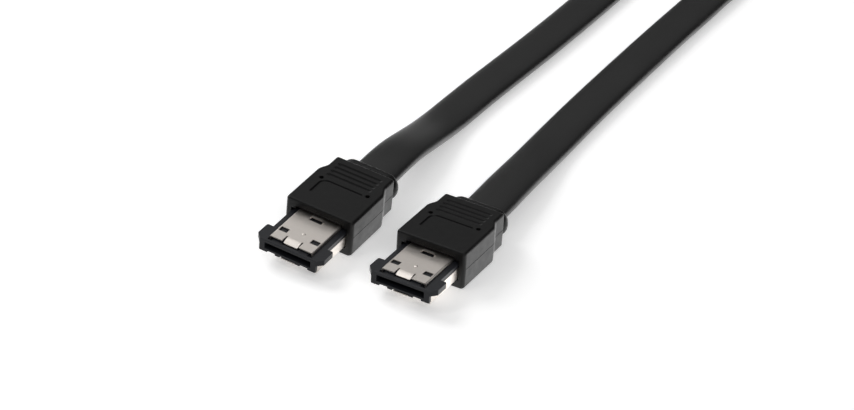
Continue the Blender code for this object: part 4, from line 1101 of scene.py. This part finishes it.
inner_half = 1.5 * HANK_PITCH + JACKET_THICKNESS / 2 + TAPE_CLEARANCE + TAPE_THICKNESS / 2
tape_low = TAPE_THICKNESS / 2
tape_top = STRAP_RISE + JACKET_WIDTH + TAPE_CLEARANCE + TAPE_THICKNESS / 2
tape_corners = [
    (TAPE_START_X, tape_top), (-inner_half, tape_top), (-inner_half, tape_low), (inner_half, tape_low),
    (inner_half, tape_top + TAPE_THICKNESS), (TAPE_END_X, tape_top + TAPE_THICKNESS),
]
tape_path = []
for k, corner in enumerate(tape_corners):
    corner = Vector(corner)
    if k in (0, len(tape_corners) - 1):
        tape_path.append(corner)
        continue
    into = (corner - Vector(tape_corners[k - 1])).normalized()
    out = (Vector(tape_corners[k + 1]) - corner).normalized()
    for j in range(ROUND_STEPS + 1):
        angle = math.pi / 2 * j / ROUND_STEPS
        tape_path.append(corner - into * TAPE_BEND * (1 - math.sin(angle))
                         + out * TAPE_BEND * (1 - math.cos(angle)))
tape_points = []
for near, far in zip(tape_path, tape_path[1:]):
    count = max(1, round((far - near).length / TAPE_STEP))
    tape_points += [near.lerp(far, j / count) for j in range(count)]
tape_points.append(tape_path[-1])
tape_length = sum((far - near).length for near, far in zip(tape_points, tape_points[1:]))

tape_bm = bmesh.new()
tape_layer = tape_bm.verts.layers.float_vector.new("tape_place")
tape_rings, walked = [], 0.0
for k, point in enumerate(tape_points):
    before = tape_points[max(k - 1, 0)]
    after = tape_points[min(k + 1, len(tape_points) - 1)]
    walked += (point - before).length
    along = (after - before).normalized()
    out = Vector((along.y, -along.x))
    left = max(0.0, TAPE_END_ROUND - (tape_length - walked))
    half = TAPE_WIDTH / 2 - TAPE_END_ROUND + math.sqrt(max(0.0, TAPE_END_ROUND ** 2 - left ** 2))
    ring = []
    for side, thick in ((1, 1), (-1, 1), (-1, -1), (1, -1)):
        offset = thick * TAPE_THICKNESS / 2
        ring.append(((HANK_X + point.x + out.x * offset, STRAP_Y + side * half, point.y + out.y * offset),
                     (walked, side * half, offset)))
    tape_rings.append(ring)
stack(tape_bm, [[place for place, _ in ring] for ring in tape_rings])
for vertex, (_, along_tape) in zip(tape_bm.verts, [pair for ring in tape_rings for pair in ring]):
    vertex[tape_layer] = along_tape
round_edges(tape_bm, TAPE_THICKNESS / 4, False)
strap = new_object("strap_tape", steady_normals(mesh_of(tape_bm, "strap_tape")))

# Nylon loop tape: a soft black fuzz with a dusty edge, over faint woven ribs
TAPE_BLACK = "#1b1b1c"
TAPE_FUZZ = "#2c2c2e"
LOOP_SIZE = 0.00035
RIB_PITCH = 0.0008
WAVE_PERIOD = 0.314

loop_tape = bpy.data.materials.new("hook_and_loop_tape")
tree = new_tree(loop_tape)
place = add_node(tree, "Attribute", attribute_name="tape_place").outputs["Vector"]
loops = add_node(tree, "TexVoronoi", {"Vector": place, "Scale": 1 / LOOP_SIZE}, feature="F1")
fuzz = add_node(tree, "TexNoise", {"Vector": place, "Scale": 1 / LOOP_SIZE, "Detail": 4.0})
ribs = add_node(tree, "TexWave", {"Vector": place, "Scale": WAVE_PERIOD / RIB_PITCH, "Distortion": 1.0})
tone = add_node(tree, "MixRGB", {0: fuzz.outputs[0], 1: linear(TAPE_BLACK), 2: linear(TAPE_FUZZ)})
bump = add_node(tree, "Bump", {"Strength": 0.7, "Distance": 0.00012, "Height": loops.outputs[0]})
bump = add_node(tree, "Bump", {
    "Strength": 0.5, "Distance": 0.00008, "Height": ribs.outputs[0], "Normal": bump.outputs[0],
})
bump = add_node(tree, "Bump", {
    "Strength": 0.5, "Distance": 0.00006, "Height": fuzz.outputs[0], "Normal": bump.outputs[0],
})
shader = add_node(tree, "BsdfPrincipled", {
    "Base Color": tone.outputs[0], "Roughness": 0.85, "IOR": 1.53, "Sheen Weight": 0.4,
    "Sheen Roughness": 0.5, "Normal": bump.outputs[0],
})
add_node(tree, "OutputMaterial", {"Surface": shader.outputs[0]})
strap.data.materials.append(loop_tape)
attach(strap, "root")
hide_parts("cable_strap")
